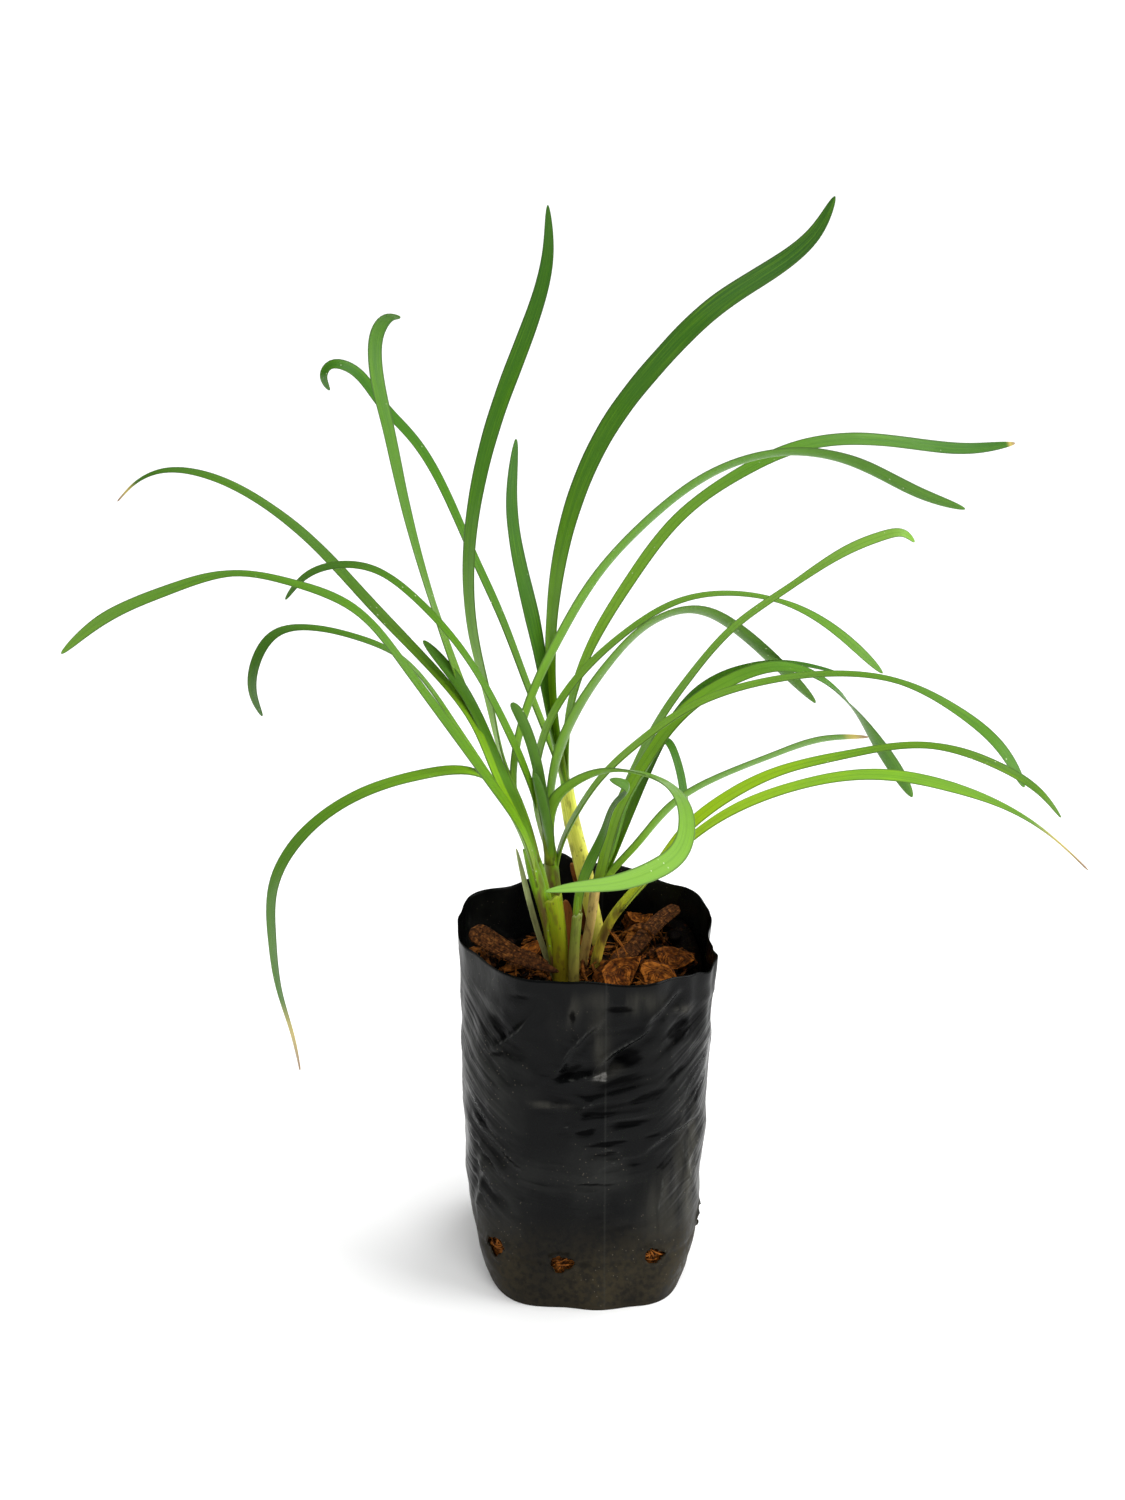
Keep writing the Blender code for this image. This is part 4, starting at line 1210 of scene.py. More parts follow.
@dataclass
class PottingMix:
    """The bark mix: a rough top with small bark bits and fibres, and a side behind the film."""

    bag: GrowBag
    finish: BarkFinish = BarkFinish(
        "bark_mix", (0.26, 0.084, 0.013), (0.050, 0.015, 0.0025), (0.003, 0.0012, 0.001), 0.3
    )
    level: float = 118.0
    edge: float = 121.0
    sides: int = 220
    bits: int = 290
    bit_seed: int = 77
    blocky: float = 0.7
    fibres: int = 130
    fibre_reach: float = 42.0
    fibre_seed: int = 5
    drain_threads: int = 16
    drain_seed: int = 12
    roots: tuple[tuple[tuple[Point, ...], float, float], ...] = (
        (((12, 10, 119), (14, 9, 131), (21, 10, 135), (27, 14, 129), (28, 16, 119)), 0.75, 0.6),
        (((8, 2, 119), (13, 4, 128), (19, 8, 126), (21, 12, 119)), 0.6, 0.9),
        (((13, 16, 119), (18, 17, 131), (26, 20, 131), (33, 20, 121)), 0.9, 0.5),
        (((9, -3, 140), (13, -6, 136), (17, -8, 131)), 0.28, 2.4),
        (((11, -4, 139), (15, -7, 134), (17, -9, 128)), 0.26, 2.4),
        (((12, -3, 133), (13, -7, 129), (12, -10, 124)), 0.3, 1.8),
        (((1, -2, 120), (-1, -7, 128), (0, -12, 124), (3, -16, 121)), 0.8, 0.6),
        (((3, -1, 121), (3, -6, 126), (5, -12, 123), (8, -15, 120)), 0.7, 0.8),
        (((-13, -14, 121), (-17, -16, 127), (-24, -17, 126)), 0.6, 0.6),
        (((-24, 4, 119), (-19, -2, 126), (-14, -6, 121)), 0.6, 0.4),
    )
    clear: tuple[tuple[float, float, float], ...] = (
        (-9.5, -10, 5.5), (-11, 3, 4), (-7.5, 13, 5), (5, 32, 5), (0, 5, 4), (4.5, 1, 4.5),
        (-4, -16, 4),
    )
    mounds: tuple[Mound, ...] = (
        Mound(-41, -4, 12, 9), Mound(-27, -13, 5.5, 8), Mound(-14, -21, 3.5, 8),
        Mound(38, 34, 10, 9), Mound(24, 13, 3.5, 9), Mound(14, -20, 6, 9), Mound(29, -21, 6, 9),
        Mound(34, -1, 5, 9), Mound(-24, 24, -5, 11), Mound(6, -4, 6, 6.5),
    )

    def top(self, x: np.ndarray, y: np.ndarray) -> np.ndarray:
        """Height of the mix: the level plus each mound's rise e^(-d^2 / 2 spread^2).

        Args:
            x: Places along X.
            y: Places along Y, of the same shape.

        Returns:
            The heights.
        """
        height = np.full_like(x, self.level)
        for mound in self.mounds:
            off = (x - mound.x) ** 2 + (y - mound.y) ** 2
            height = height + mound.rise * np.exp(-off / (2.0 * mound.spread**2))
        return height

    def bulk(self) -> Surface:
        """The mix itself: rings from its foot up the film, then in over the lumpy top.

        Returns:
            One closed surface.
        """
        angles = np.linspace(-180.0, 180.0, self.sides, endpoint=False)
        behind_drains = np.linspace(9.0, 30.0, 15)
        side_rows = np.concatenate([[1.2, 6.0], behind_drains, [36.0, 70.0, 104.0, 112.0]])
        turn, height = np.meshgrid(angles, side_rows, indexing="xy")
        insets = np.interp(height, [0.0, 8.0, 28.0, 36.0, 104.0, 112.0], [2.0, 1.3, 1.3, 5.0, 5.0, 2.6])
        side = self.inside(turn, height, insets)
        rim = self.inside(angles, np.full(self.sides, self.edge), 1.2)
        shares = np.linspace(1.0, 0.03, 46)[:, None]
        x, y = rim[:, 0] * shares, rim[:, 1] * shares
        plan = np.stack([x, y], axis=-1)
        lumps = 1.5 * random_waves(plan, 9.0, 31) + 0.8 * random_waves(plan, 4.0, 32)
        edge = np.clip((1.0 - shares) / 0.06, 0.0, 1.0)
        top = np.stack([x, y, self.top(x, y) - 1.0 + lumps * edge], axis=-1)
        rings = np.concatenate([side, top])
        # The top of the bulk is near black: painted shade in the gaps between the bark bits. Below 40
        # mm, behind the drain holes, it is light coir.
        tone = np.where(rings[..., 2] < 40.0, 0.9, -0.2)
        return closed_tube(rings, self.bit_values(tone, rings))

    def inside(self, angles: np.ndarray, height: np.ndarray, inset: np.ndarray | float) -> np.ndarray:
        """Points behind the film: its least reach up to 6 mm above and below, less an inset.

        Args:
            angles: Angles in degrees.
            height: Heights, of the same shape.
            inset: How far inside the film the points lie.

        Returns:
            The points.
        """
        steps = (-6.0, -3.0, 0.0, 3.0, 6.0)
        walls = [
            self.bag.wall(angles, np.clip(height + step, 0.0, self.bag.rim))[0] for step in steps
        ]
        reach = np.min([np.hypot(wall[..., 0], wall[..., 1]) for wall in walls], axis=0) - inset
        turn = np.radians(angles)
        return np.stack([reach * np.cos(turn), reach * np.sin(turn), height], axis=-1)

    def held(self, points: np.ndarray) -> np.ndarray:
        """Draws points in towards the middle where they would come within 0.8 mm of the film.

        Args:
            points: Points as ... x 3.

        Returns:
            The points, all inside the bag.
        """
        angles = np.degrees(np.arctan2(points[..., 1], points[..., 0]))
        limit = self.inside(angles, points[..., 2], 0.8)
        share = np.hypot(limit[..., 0], limit[..., 1]) / np.hypot(points[..., 0], points[..., 1])
        return np.concatenate(
            [points[..., :2] * np.minimum(share, 1.0)[..., None], points[..., 2:]], axis=-1
        )

    def bit_values(self, tone: np.ndarray, rings: np.ndarray) -> dict[str, np.ndarray]:
        """The numbers that the bark's material reads, for plain lumps."""
        return {"tone": tone, "across": rings[..., 0] * 0.05, "length": rings[..., 1] * MM}

    def bark_bits(self) -> Surface:
        """Small flat bark bits, each a squashed superellipsoid with a seeded size and tilt.

        With a latitude and a longitude its x, y and z are half sizes times signed powers
        of their cosines and sines; a power under 1 makes it blocky.

        Returns:
            All the bits as separate shells of 48 faces.
        """
        rng = np.random.default_rng(self.bit_seed)
        reach = 0.97 * np.sqrt(rng.random(self.bits * 3))
        angle = rng.uniform(-180.0, 180.0, self.bits * 3)
        rim, _ = self.bag.wall(angle, np.full(angle.shape, self.edge), inset=3.0)
        spots = rim[:, :2] * reach[:, None]
        stems = np.array(self.clear)
        away = np.linalg.norm(spots[:, None] - stems[None, :, :2], axis=-1) - stems[None, :, 2]
        spots = spots[away.min(1) > 0.0][: self.bits]
        count = len(spots)
        ranges = ((1.6, 6.4), (1.1, 3.4), (0.45, 1.2))
        size = np.stack([rng.uniform(low, high, count) for low, high in ranges], axis=-1)
        latitude = np.linspace(-0.5 * math.pi, 0.5 * math.pi, 7)[1:-1]
        p, q = np.meshgrid(latitude, round_angles(8), indexing="ij")
        cos_p, sin_p, cos_q, sin_q = (
            signed_power(part, self.blocky) for part in (np.cos(p), np.sin(p), np.cos(q), np.sin(q))
        )
        unit = np.stack([cos_p * cos_q, cos_p * sin_q, sin_p], axis=-1)
        local = unit[None] * size[:, None, None]
        local[..., 1] *= 1.0 - 0.5 * np.clip(unit[None, ..., 0], -0.2, 1.0)
        local = local * (1.0 + 0.22 * rng.standard_normal(local.shape[:3]))[..., None]
        spin, tilt = rng.uniform(0.0, 2.0 * math.pi, count), rng.normal(0.0, 0.5, count)
        lean = rng.uniform(0.0, 2.0 * math.pi, count)
        turned = self.turned(local, spin, tilt, lean)
        z = self.top(spots[:, 0], spots[:, 1]) + rng.uniform(-0.8, 1.1, count)
        turned = self.held(turned + np.concatenate([spots, z[:, None]], axis=1)[:, None, None])
        tone = rng.uniform(-0.3, 0.9, count)
        parts = [
            closed_tube(rings, self.bit_values(np.full(rings.shape[:2], shade), rings))
            for rings, shade in zip(turned, tone)
        ]
        return Surface.join(parts)

    def turned(
        self, local: np.ndarray, spin: np.ndarray, tilt: np.ndarray, lean: np.ndarray
    ) -> np.ndarray:
        """Turns each bit about Z by its spin, then tips it by its tilt towards its lean.

        Args:
            local: Points as bits x rows x columns x 3.
            spin: Each bit's turn about Z, in radians.
            tilt: Each bit's tip, in radians.
            lean: The heading each bit tips towards, in radians.

        Returns:
            The turned points.
        """
        c, s = np.cos(spin)[:, None, None], np.sin(spin)[:, None, None]
        x, y = local[..., 0] * c - local[..., 1] * s, local[..., 0] * s + local[..., 1] * c
        hx, hy = np.cos(lean)[:, None, None], np.sin(lean)[:, None, None]
        forward, sideways = x * hx + y * hy, y * hx - x * hy
        ct, st = np.cos(tilt)[:, None, None], np.sin(tilt)[:, None, None]
        forward, z = forward * ct - local[..., 2] * st, forward * st + local[..., 2] * ct
        return np.stack([forward * hx - sideways * hy, forward * hy + sideways * hx, z], axis=-1)

    def fibre_tubes(self) -> Surface:
        """Roots and fibres on the top: arcs that follow the mix, each a tube of five sides.

        The roots follow curves through their own points. A fibre's point is its start plus
        a heading times the share of its length plus a bow of sin(pi t) sideways; its height
        is that of the mix plus an arch of sin(pi t).

        Returns:
            All the fibres as separate closed tubes.
        """
        rng = np.random.default_rng(self.fibre_seed)
        t = np.linspace(0.0, 1.0, 9)
        parts = [
            self.thread(Route(points).sample(np.linspace(0.0, 1.0, 12))[0], radius, tone)
            for points, radius, tone in self.roots
        ]
        for _ in range(self.fibres):
            start = rng.uniform(-36.0, 36.0, 2)
            heading = rng.uniform(0.0, 2.0 * math.pi)
            length, bow, arch = rng.uniform(8.0, 22.0), rng.normal(0.0, 3.0), rng.uniform(0.4, 3.0)
            way = np.array([math.cos(heading), math.sin(heading)])
            off = np.array([-way[1], way[0]])
            plan = start + way * (length * t)[:, None] + off * (bow * np.sin(math.pi * t))[:, None]
            out = np.maximum(np.linalg.norm(plan, axis=1), 1e-6)
            plan = plan * np.minimum(1.0, self.fibre_reach / out)[:, None]
            z = self.top(plan[:, 0], plan[:, 1]) + 0.3 + arch * np.sin(math.pi * t)
            line = self.held(np.column_stack([plan, z]))
            parts.append(self.thread(line, rng.uniform(0.16, 0.38), rng.uniform(0.5, 1.3)))
        return Surface.join(parts)

    def drain_fibres(self) -> Surface:
        """Coir behind each drain hole: short threads that bow out through the hole.

        A thread's angle and height run straight between two seeded ends, and its reach is
        the film's less 1.3 mm plus a bow of cos(pi t / 2), for t from -1 to 1.

        Returns:
            All the threads as separate closed tubes.
        """
        rng = np.random.default_rng(self.drain_seed)
        t = np.linspace(-1.0, 1.0, 7)
        parts = []
        for angle, level in self.bag.drains:
            for _ in range(self.drain_threads):
                heading, reach = rng.uniform(0.0, math.pi), rng.uniform(2.2, 4.2)
                off = rng.normal(0.0, 1.3, 2)
                angles = angle + (off[0] + reach * math.cos(heading) * t) / PER_DEGREE
                height = level + 0.7 * (off[1] + reach * math.sin(heading) * t)
                bow = rng.uniform(0.3, 1.4) * np.cos(0.5 * math.pi * t)
                line, _ = self.bag.wall(angles, height, inset=1.3 - bow)
                parts.append(self.thread(line, rng.uniform(0.2, 0.42), rng.uniform(0.3, 1.1)))
        return Surface.join(parts)

    def thread(self, line: np.ndarray, radius: float, tone: float) -> Surface:
        """A thin closed tube along a line, five sides round and narrower at its ends.

        Args:
            line: The points it follows.
            radius: Its radius.
            tone: How light it is.

        Returns:
            The tube.
        """
        along = made_unit(np.gradient(line, axis=0))
        side = made_unit(np.cross(along, (0.31, 0.52, 0.8)))
        rise = np.cross(along, side)
        turn = round_angles(5)[None, :, None]
        girth = radius * (0.35 + 0.65 * np.sin(math.pi * np.linspace(0.08, 0.92, len(line))))
        rings = line[:, None] + girth[:, None, None] * (
            side[:, None] * np.cos(turn) + rise[:, None] * np.sin(turn)
        )
        return closed_tube(rings, self.bit_values(np.full(rings.shape[:2], tone), rings))

    def build(self) -> None:
        """Makes the mix, its bits and its fibres as one piece."""
        parts = [self.bulk(), self.bark_bits(), self.fibre_tubes(), self.drain_fibres()]
        piece = Surface.join(parts).make("bark_mix_fill")
        dress(piece, self.finish, "potting_mix")


def turn_matrix(turns: Point) -> np.ndarray:
    """The turn about X, then Y, then Z.

    Args:
        turns: The three turns in degrees.

    Returns:
        The matrix that turns a column of x, y and z.
    """
    a, b, c = np.radians(turns)
    about_x = np.array([[1, 0, 0], [0, math.cos(a), -math.sin(a)], [0, math.sin(a), math.cos(a)]])
    about_y = np.array([[math.cos(b), 0, math.sin(b)], [0, 1, 0], [-math.sin(b), 0, math.cos(b)]])
    about_z = np.array([[math.cos(c), -math.sin(c), 0], [math.sin(c), math.cos(c), 0], [0, 0, 1]])
    return about_z @ about_y @ about_x


@dataclass
class BarkChip:
    """A loose piece of bark: its middle, its size, its turns about X, Y and Z, and its look."""

    label: str
    middle: Point
    size: Point
    turns: Point
    finish: BarkFinish
    point: float = 0.35
    seed: int = 1

    def surface(self) -> Surface:
        """A slab with a jagged teardrop outline, layered down its sides.

        The rings run from the middle of the underside out, up the side and in over the
        top, with a share r of the outline at each. The outline at an angle q is cos q and
        sin q, narrowed towards one end and cut by waves; each of four layers up the side
        draws in by a twelfth, and the top swells and dips in waves.

        Returns:
            The closed chip.
        """
        under, over = np.linspace(0.1, 0.94, 6), np.linspace(0.95, 0.06, 11)
        share = np.concatenate([under, np.ones(13), over])
        level = np.concatenate([-np.ones(6), np.linspace(-0.96, 0.96, 13), np.ones(11)])
        around = round_angles(56)
        q, r = np.meshgrid(around, share)
        z = np.broadcast_to(level[:, None], q.shape)
        plan = np.stack([np.cos(around) * 2.0, np.sin(around) * 2.0], axis=-1)
        ragged = 1.0 + 0.10 * random_waves(plan, 2.6, self.seed)
        ragged = ragged + 0.05 * random_waves(plan, 1.0, self.seed + 9)
        steps = np.floor((z + 1.0) * 1.999)
        reach = r * ragged * (1.1 - 0.08 * steps + 0.05 * np.sin(2.0 * q + 1.7 * steps + self.seed))
        x = reach * signed_power(np.cos(q), 0.9)
        y = reach * signed_power(np.sin(q), 0.9) * (1.0 - self.point * np.clip(x, 0.0, 1.0))
        local = np.stack([x, y, z], axis=-1) * (np.array(self.size) / 2.0)
        swell = 0.9 * random_waves(local[..., :2] * (0.5, 1.0), 6.5, self.seed + 80)
        local[..., 2] += swell + 0.4 * random_waves(local[..., :2], 2.6, self.seed + 60)
        local[..., 2] += 0.03 * (local[..., 0] ** 2 - 1.6 * local[..., 1] ** 2)
        rings = local @ turn_matrix(self.turns).T + np.array(self.middle)
        # Painted highlight: the outer edge of each chip's top is lightened, by a share that waves along
        # it.
        edge_highlight = 0.5 + 0.5 * random_waves(plan, 1.1, self.seed + 4)
        rim = smoothstep((r - 0.8) / 0.14) * (z > 0.9) * edge_highlight
        values = {
            "tone": 0.45 + 0.1 * (self.seed % 3) - 0.1 * steps * (r > 0.97) + 0.5 * rim,
            "across": r * 1.2 + local[..., 1] * 0.12,
            "length": 0.006 * np.cos(q + 0.4 * self.seed),
        }
        return closed_tube(rings, values)

    def build(self) -> None:
        """Makes the chip in place of its CAD node."""
        piece = self.surface().make("chip_" + self.label)
        dress(piece, self.finish, "bark_chip_" + self.label)


# Shoots


class Section(Enum):
    """How a strap is shaped across: its channel and its thickness at root and tip."""

    LEAF = (0.30, 0.14, 1.5, 0.7)
    CURL = (0.34, 0.14, 1.5, 0.8)
    PAPER = (0.42, 0.34, 0.7, 0.5)
    HUSK = (0.05, 0.12, 2.4, 1.6)


@dataclass(frozen=True)
class Strap:
    """A strap leaf or strip: its full width, its rolls, its route, its tone and its tip."""

    width: float
    rolls: tuple[float, ...]
    route: tuple[Point, ...]
    # For a leaf the tone is partly its own lightness and partly painted shade where it lies in shadow;
    # for husk it sets the bark's lightness.
    tone: tuple[float, ...] = (0.5,)
    lime: float = 0.0
    dry: float = 0.0
    taper: float = 0.73
    blunt: float = 3.3
    root: float = 0.62
    head: float = 0.0
    section: Section = Section.LEAF

    def width_at(self, shares: np.ndarray) -> np.ndarray:
        """Width: narrow at the root, full from 0.4 of the length, then sqrt(1 - tip^blunt).

        Args:
            shares: Shares of the length.

        Returns:
            The full width at each.
        """
        body = self.root + (1.0 - self.root) * smoothstep(shares / 0.4)
        tip = np.clip((shares - self.taper) / (1.0 - self.taper), 0.0, 1.0)
        start = np.clip(1.0 - shares / self.head, 0.0, 1.0) if self.head else shares * 0.0
        return self.width * body * np.sqrt(np.clip(1.0 - tip**self.blunt - start**2.4, 0.0, 1.0))

    def surface(self, seed: int, stations: int = 92, around: int = 16) -> Surface:
        """The blade: a flat oval carried along the route, channelled along its middle.

        Across, x is half the width times cos a, and y is half the thickness times sin a to
        a signed power plus the channel's depth times half the width times cos^2 a less a
        half. The edges wave a little, and the blade rolls by its own angles along the route.

        Args:
            seed: The seed of its small waves.
            stations: Rings along it, closer together at the tip.
            around: Points round each ring.

        Returns:
            The closed blade with its numbers.
        """
        shares = 1.0 - (1.0 - np.linspace(0.0, 1.0, stations)) ** 1.5
        middles, along, length = Route(self.route).sample(shares)
        sides = carried_sides(along, shares)
        ups = np.cross(sides, along)
        roll = np.radians(np.interp(shares, np.linspace(0.0, 1.0, len(self.rolls)), self.rolls))
        roll = roll[:, None]
        side = sides * np.cos(roll) + ups * np.sin(roll)
        up = ups * np.cos(roll) - sides * np.sin(roll)
        channel_root, channel_tip, thick_root, thick_tip = self.section.value
        half = np.maximum(self.width_at(shares), 0.5) / 2.0
        run = (shares * length)[:, None]
        waves = random_waves(np.c_[run, run * 0.0 + seed], 24.0, seed)[:, None]
        half = half[:, None] * (1.0 + 0.03 * waves)
        deep = channel_tip + (channel_root - channel_tip) * (1.0 - smoothstep(shares / 0.35))
        thick = thick_root + (thick_tip - thick_root) * smoothstep(shares / 0.8)
        thick = np.minimum(thick[:, None], half * 1.5)
        turn = round_angles(around)[None, :]
        cos, sin = np.cos(turn), np.sin(turn)
        x = half * cos
        channel = deep[:, None] * half * (cos**2 - 0.5)
        y = thick * 0.5 * signed_power(sin, 0.8) * (1.0 - 0.35 * cos**2) + channel
        rings = middles[:, None] + x[..., None] * side[:, None] + y[..., None] * up[:, None]
        flat = np.ones_like(x)
        start = 1.0 - self.dry
        dry = np.clip((shares - start) / max(self.dry, 1e-6), 0.0, 1.0) if self.dry else shares * 0.0
        tone = np.interp(shares, np.linspace(0.0, 1.0, len(self.tone)), self.tone)
        values = {
            "along": flat * shares[:, None],
            "across": flat * cos,
            "length": flat * run * MM,
            "tone": flat * tone[:, None],
            "dry": flat * dry[:, None],
            "under": flat * (sin < -0.1),
            "lime": flat * self.lime,
            "stain": flat * np.clip(1.0 - run / 18.0, 0.0, 1.0) * 0.7,
        }
        return closed_tube(rings[:, ::-1], {name: grid[:, ::-1] for name, grid in values.items()})


@dataclass(frozen=True)
class Stem:
    """The closed bundle of leaf bases: its route, its radii and how stained it is."""

    route: tuple[Point, ...]
    radii: tuple[float, ...]
    stain: float = 0.6
    tone: float = 0.2

    def rings(self, stations: int, around: int, extra: float, start: float, end: float) -> tuple:
        """Rings round the route between two shares of its length.

        The radius is read between the route's points, grows by extra, and swells by 5 per
        cent in three ridges that wind slowly, like leaf bases wrapped round each other.

        Args:
            stations: How many rings there are.
            around: Points round each ring.
            extra: What is added to the radius.
            start: The share where the rings start.
            end: The share where they end.

        Returns:
            The rings, the shares, the angles and the length.
        """
        points = np.asarray(self.route, float)
        knots = np.r_[0.0, np.cumsum(np.linalg.norm(np.diff(points, axis=0), axis=1))]
        shares = np.linspace(start, end, stations)
        middles, along, length = Route(self.route).sample(shares)
        radius = np.interp(shares * length, knots, self.radii) + extra
        across = made_unit(np.array((1.0, 0.0, 0.0)) - along * along[:, :1])
        beyond = np.cross(along, across)
        turn = round_angles(around)[None, :]
        ridges = 1.0 + 0.05 * np.cos(3.0 * turn + 5.0 * shares[:, None])
        reach = (radius[:, None] * ridges)[..., None]
        ring = across[:, None] * np.cos(turn)[..., None] + beyond[:, None] * np.sin(turn)[..., None]
        return middles[:, None] + ring * reach, shares, turn, length

    def surface(self) -> Surface:
        """The stem, closed at both ends.

        Returns:
            The closed stem with its numbers.
        """
        rings, shares, turn, length = self.rings(46, 20, 0.0, 0.0, 1.0)
        flat = np.ones(rings.shape[:2])
        up = smoothstep((shares - 0.35) / 0.65)[:, None]
        values = {
            "along": flat * (0.01 + 0.09 * up),
            "across": np.cos(turn * 2.0) * flat * 0.7,
            "length": flat * shares[:, None] * length * MM,
            "tone": flat * self.tone,
            "dry": flat * 0.0,
            "under": flat * 0.0,
            "lime": flat * 0.0,
            "stain": self.stain * (1.0 - 0.4 * up) * (0.3 + 0.7 * np.clip(-np.sin(turn), 0.0, 1.0)),
        }
        return closed_tube(rings, values)


@dataclass(frozen=True)
class Wrap:
    """The sheath round a stem: its own tube up to the mouth, its finish and the mouth's slant."""

    tube: Stem
    finish: SheathFinish
    slant: float = 3.0
    wall: float = 0.45

    def surface(self) -> Surface:
        """The sheath: a wall down the inside, round the foot and up again to the mouth.

        The mouth is cut on a slant, so a ring is lifted by its share of the length, cubed,
        times the slant and cos a, with a small wave of sin 5a, and it flares by a tenth there.

        Returns:
            The closed wall.
        """
        count = 24
        outer, shares, turn, length = self.tube.rings(34, count, 0.0, 0.0, 1.0)
        inner = self.tube.rings(34, count, -self.wall, 0.0, 1.0)[0]
        rise = shares[:, None] ** 3
        lift = self.slant * rise * np.cos(turn + 0.8) + 0.5 * rise * np.sin(turn * 5.0 + 1.0)
        centre = outer.mean(1, keepdims=True)
        flare = 0.1 * rise[..., None]
        outer, inner = (ring + (ring - centre) * flare for ring in (outer, inner))
        outer[..., 2] += lift
        inner[..., 2] += lift
        rings = np.concatenate([inner[:1], outer, inner[::-1]])
        flat = np.ones((len(rings), count))
        course = np.concatenate([shares[:1], shares, shares[::-1]])[:, None]
        values = {
            "along": flat * course,
            "across": flat * np.cos(turn),
            "length": flat * course * length * MM,
        }
        last = (len(rings) - 1) * count
        j = np.arange(count)
        k = (j + 1) % count
        close = np.stack([last + j, last + k, k, j], axis=1)
        numbers = {name: grid.reshape(-1) for name, grid in values.items()}
        return Surface(rings.reshape(-1, 3), [ring_faces(len(rings), count), close], numbers)


@dataclass
class Shoot:
    """One shoot: its stem, the leaves that grow from it, and its sheath if it has one."""

    label: str
    stem: Stem
    leaves: tuple[Strap, ...]
    finish: LeafFinish
    wrap: Wrap | None = None

    def surface(self) -> Surface:
        """The stem and its leaves, each a closed shell whose root stands in the stem.

        Returns:
            The shoot as one surface.
        """
        parts = [self.stem.surface()]
        parts += [leaf.surface(seed) for seed, leaf in enumerate(self.leaves, start=3)]
        return Surface.join(parts)

    def build(self) -> None:
        """Makes the shoot, and its sheath where it has one."""
        piece = self.surface().make("leaves_" + self.label)
        dress(piece, self.finish, "shoot_" + self.label)
        if self.wrap is not None:
            cover = self.wrap.surface().make("wrap_" + self.label)
            dress(cover, self.wrap.finish, "sheath_" + self.label)


@dataclass
class Strip:
    """A loose strip: a dry sheath or a piece of husk, with the tines it splits into."""

    node: str
    straps: tuple[Strap, ...]
    finish: SheathFinish | BarkFinish

    def build(self) -> None:
        """Makes the strip in place of its CAD node."""
        parts = [strap.surface(seed, 40, 18) for seed, strap in enumerate(self.straps, start=51)]
        piece = Surface.join(parts).make("strip_" + self.node)
        dress(piece, self.finish, self.node)


# Tables

FRESH = LeafFinish(
    "fresh_leaf", (0.30, 0.36, 0.006), (0.19, 0.39, 0.007), (0.094, 0.232, 0.014),
    (0.054, 0.158, 0.015),
)
DEEP = LeafFinish(
    "deep_leaf", (0.30, 0.41, 0.010), (0.18, 0.39, 0.007), (0.074, 0.218, 0.010),
    (0.036, 0.138, 0.010),
)
LIME = LeafFinish(
    "yellow_leaf", (0.60, 0.42, 0.05), (0.44, 0.66, 0.010), (0.18, 0.40, 0.025),
    (0.08, 0.20, 0.020), bright_at=0.22, middle_at=0.6,
)
LIME_WRAP = SheathFinish(
    "pale_sheath", (0.17, 0.29, 0.002), (0.27, 0.29, 0.004), (0.11, 0.070, 0.008), 0.75,
    foot=(0.24, 0.165, 0.010), edge=(0.30, 0.36, 0.03),
)
PALE = SheathFinish(
    "pale_sheath", (0.11, 0.17, 0.010), (0.24, 0.27, 0.05), (0.09, 0.07, 0.02), 0.5,
    edge=(0.3, 0.36, 0.12),
)
GREY = SheathFinish(
    "grey_sheath", (0.42, 0.46, 0.22), (0.24, 0.29, 0.12), (0.08, 0.06, 0.02), 0.4,
    foot=(0.22, 0.20, 0.08),
)
GOLD = SheathFinish(
    "yellow_sheath", (0.80, 0.80, 0.12), (0.56, 0.62, 0.06), (0.13, 0.12, 0.02), 0.75,
    foot=(0.74, 0.66, 0.11),
)
TAN = SheathFinish(
    "tan_sheath", (0.78, 0.60, 0.21), (0.50, 0.33, 0.09), (0.12, 0.05, 0.025), 0.7,
    foot=(0.42, 0.27, 0.07),
)
DRY = SheathFinish(
    "dry_sheath", (0.27, 0.090, 0.014), (0.13, 0.040, 0.008), (0.03, 0.010, 0.004), 0.6,
    foot=(0.14, 0.044, 0.008), edge=(0.30, 0.12, 0.03),
)
HUSK = BarkFinish(
    "husk", (0.31, 0.115, 0.028), (0.078, 0.026, 0.007), (0.014, 0.005, 0.002), 0.42, 800.0
)
CHIP = BarkFinish(
    "bark", (0.40, 0.125, 0.016), (0.095, 0.024, 0.0025), (0.007, 0.0022, 0.001), 0.55, 480.0
)


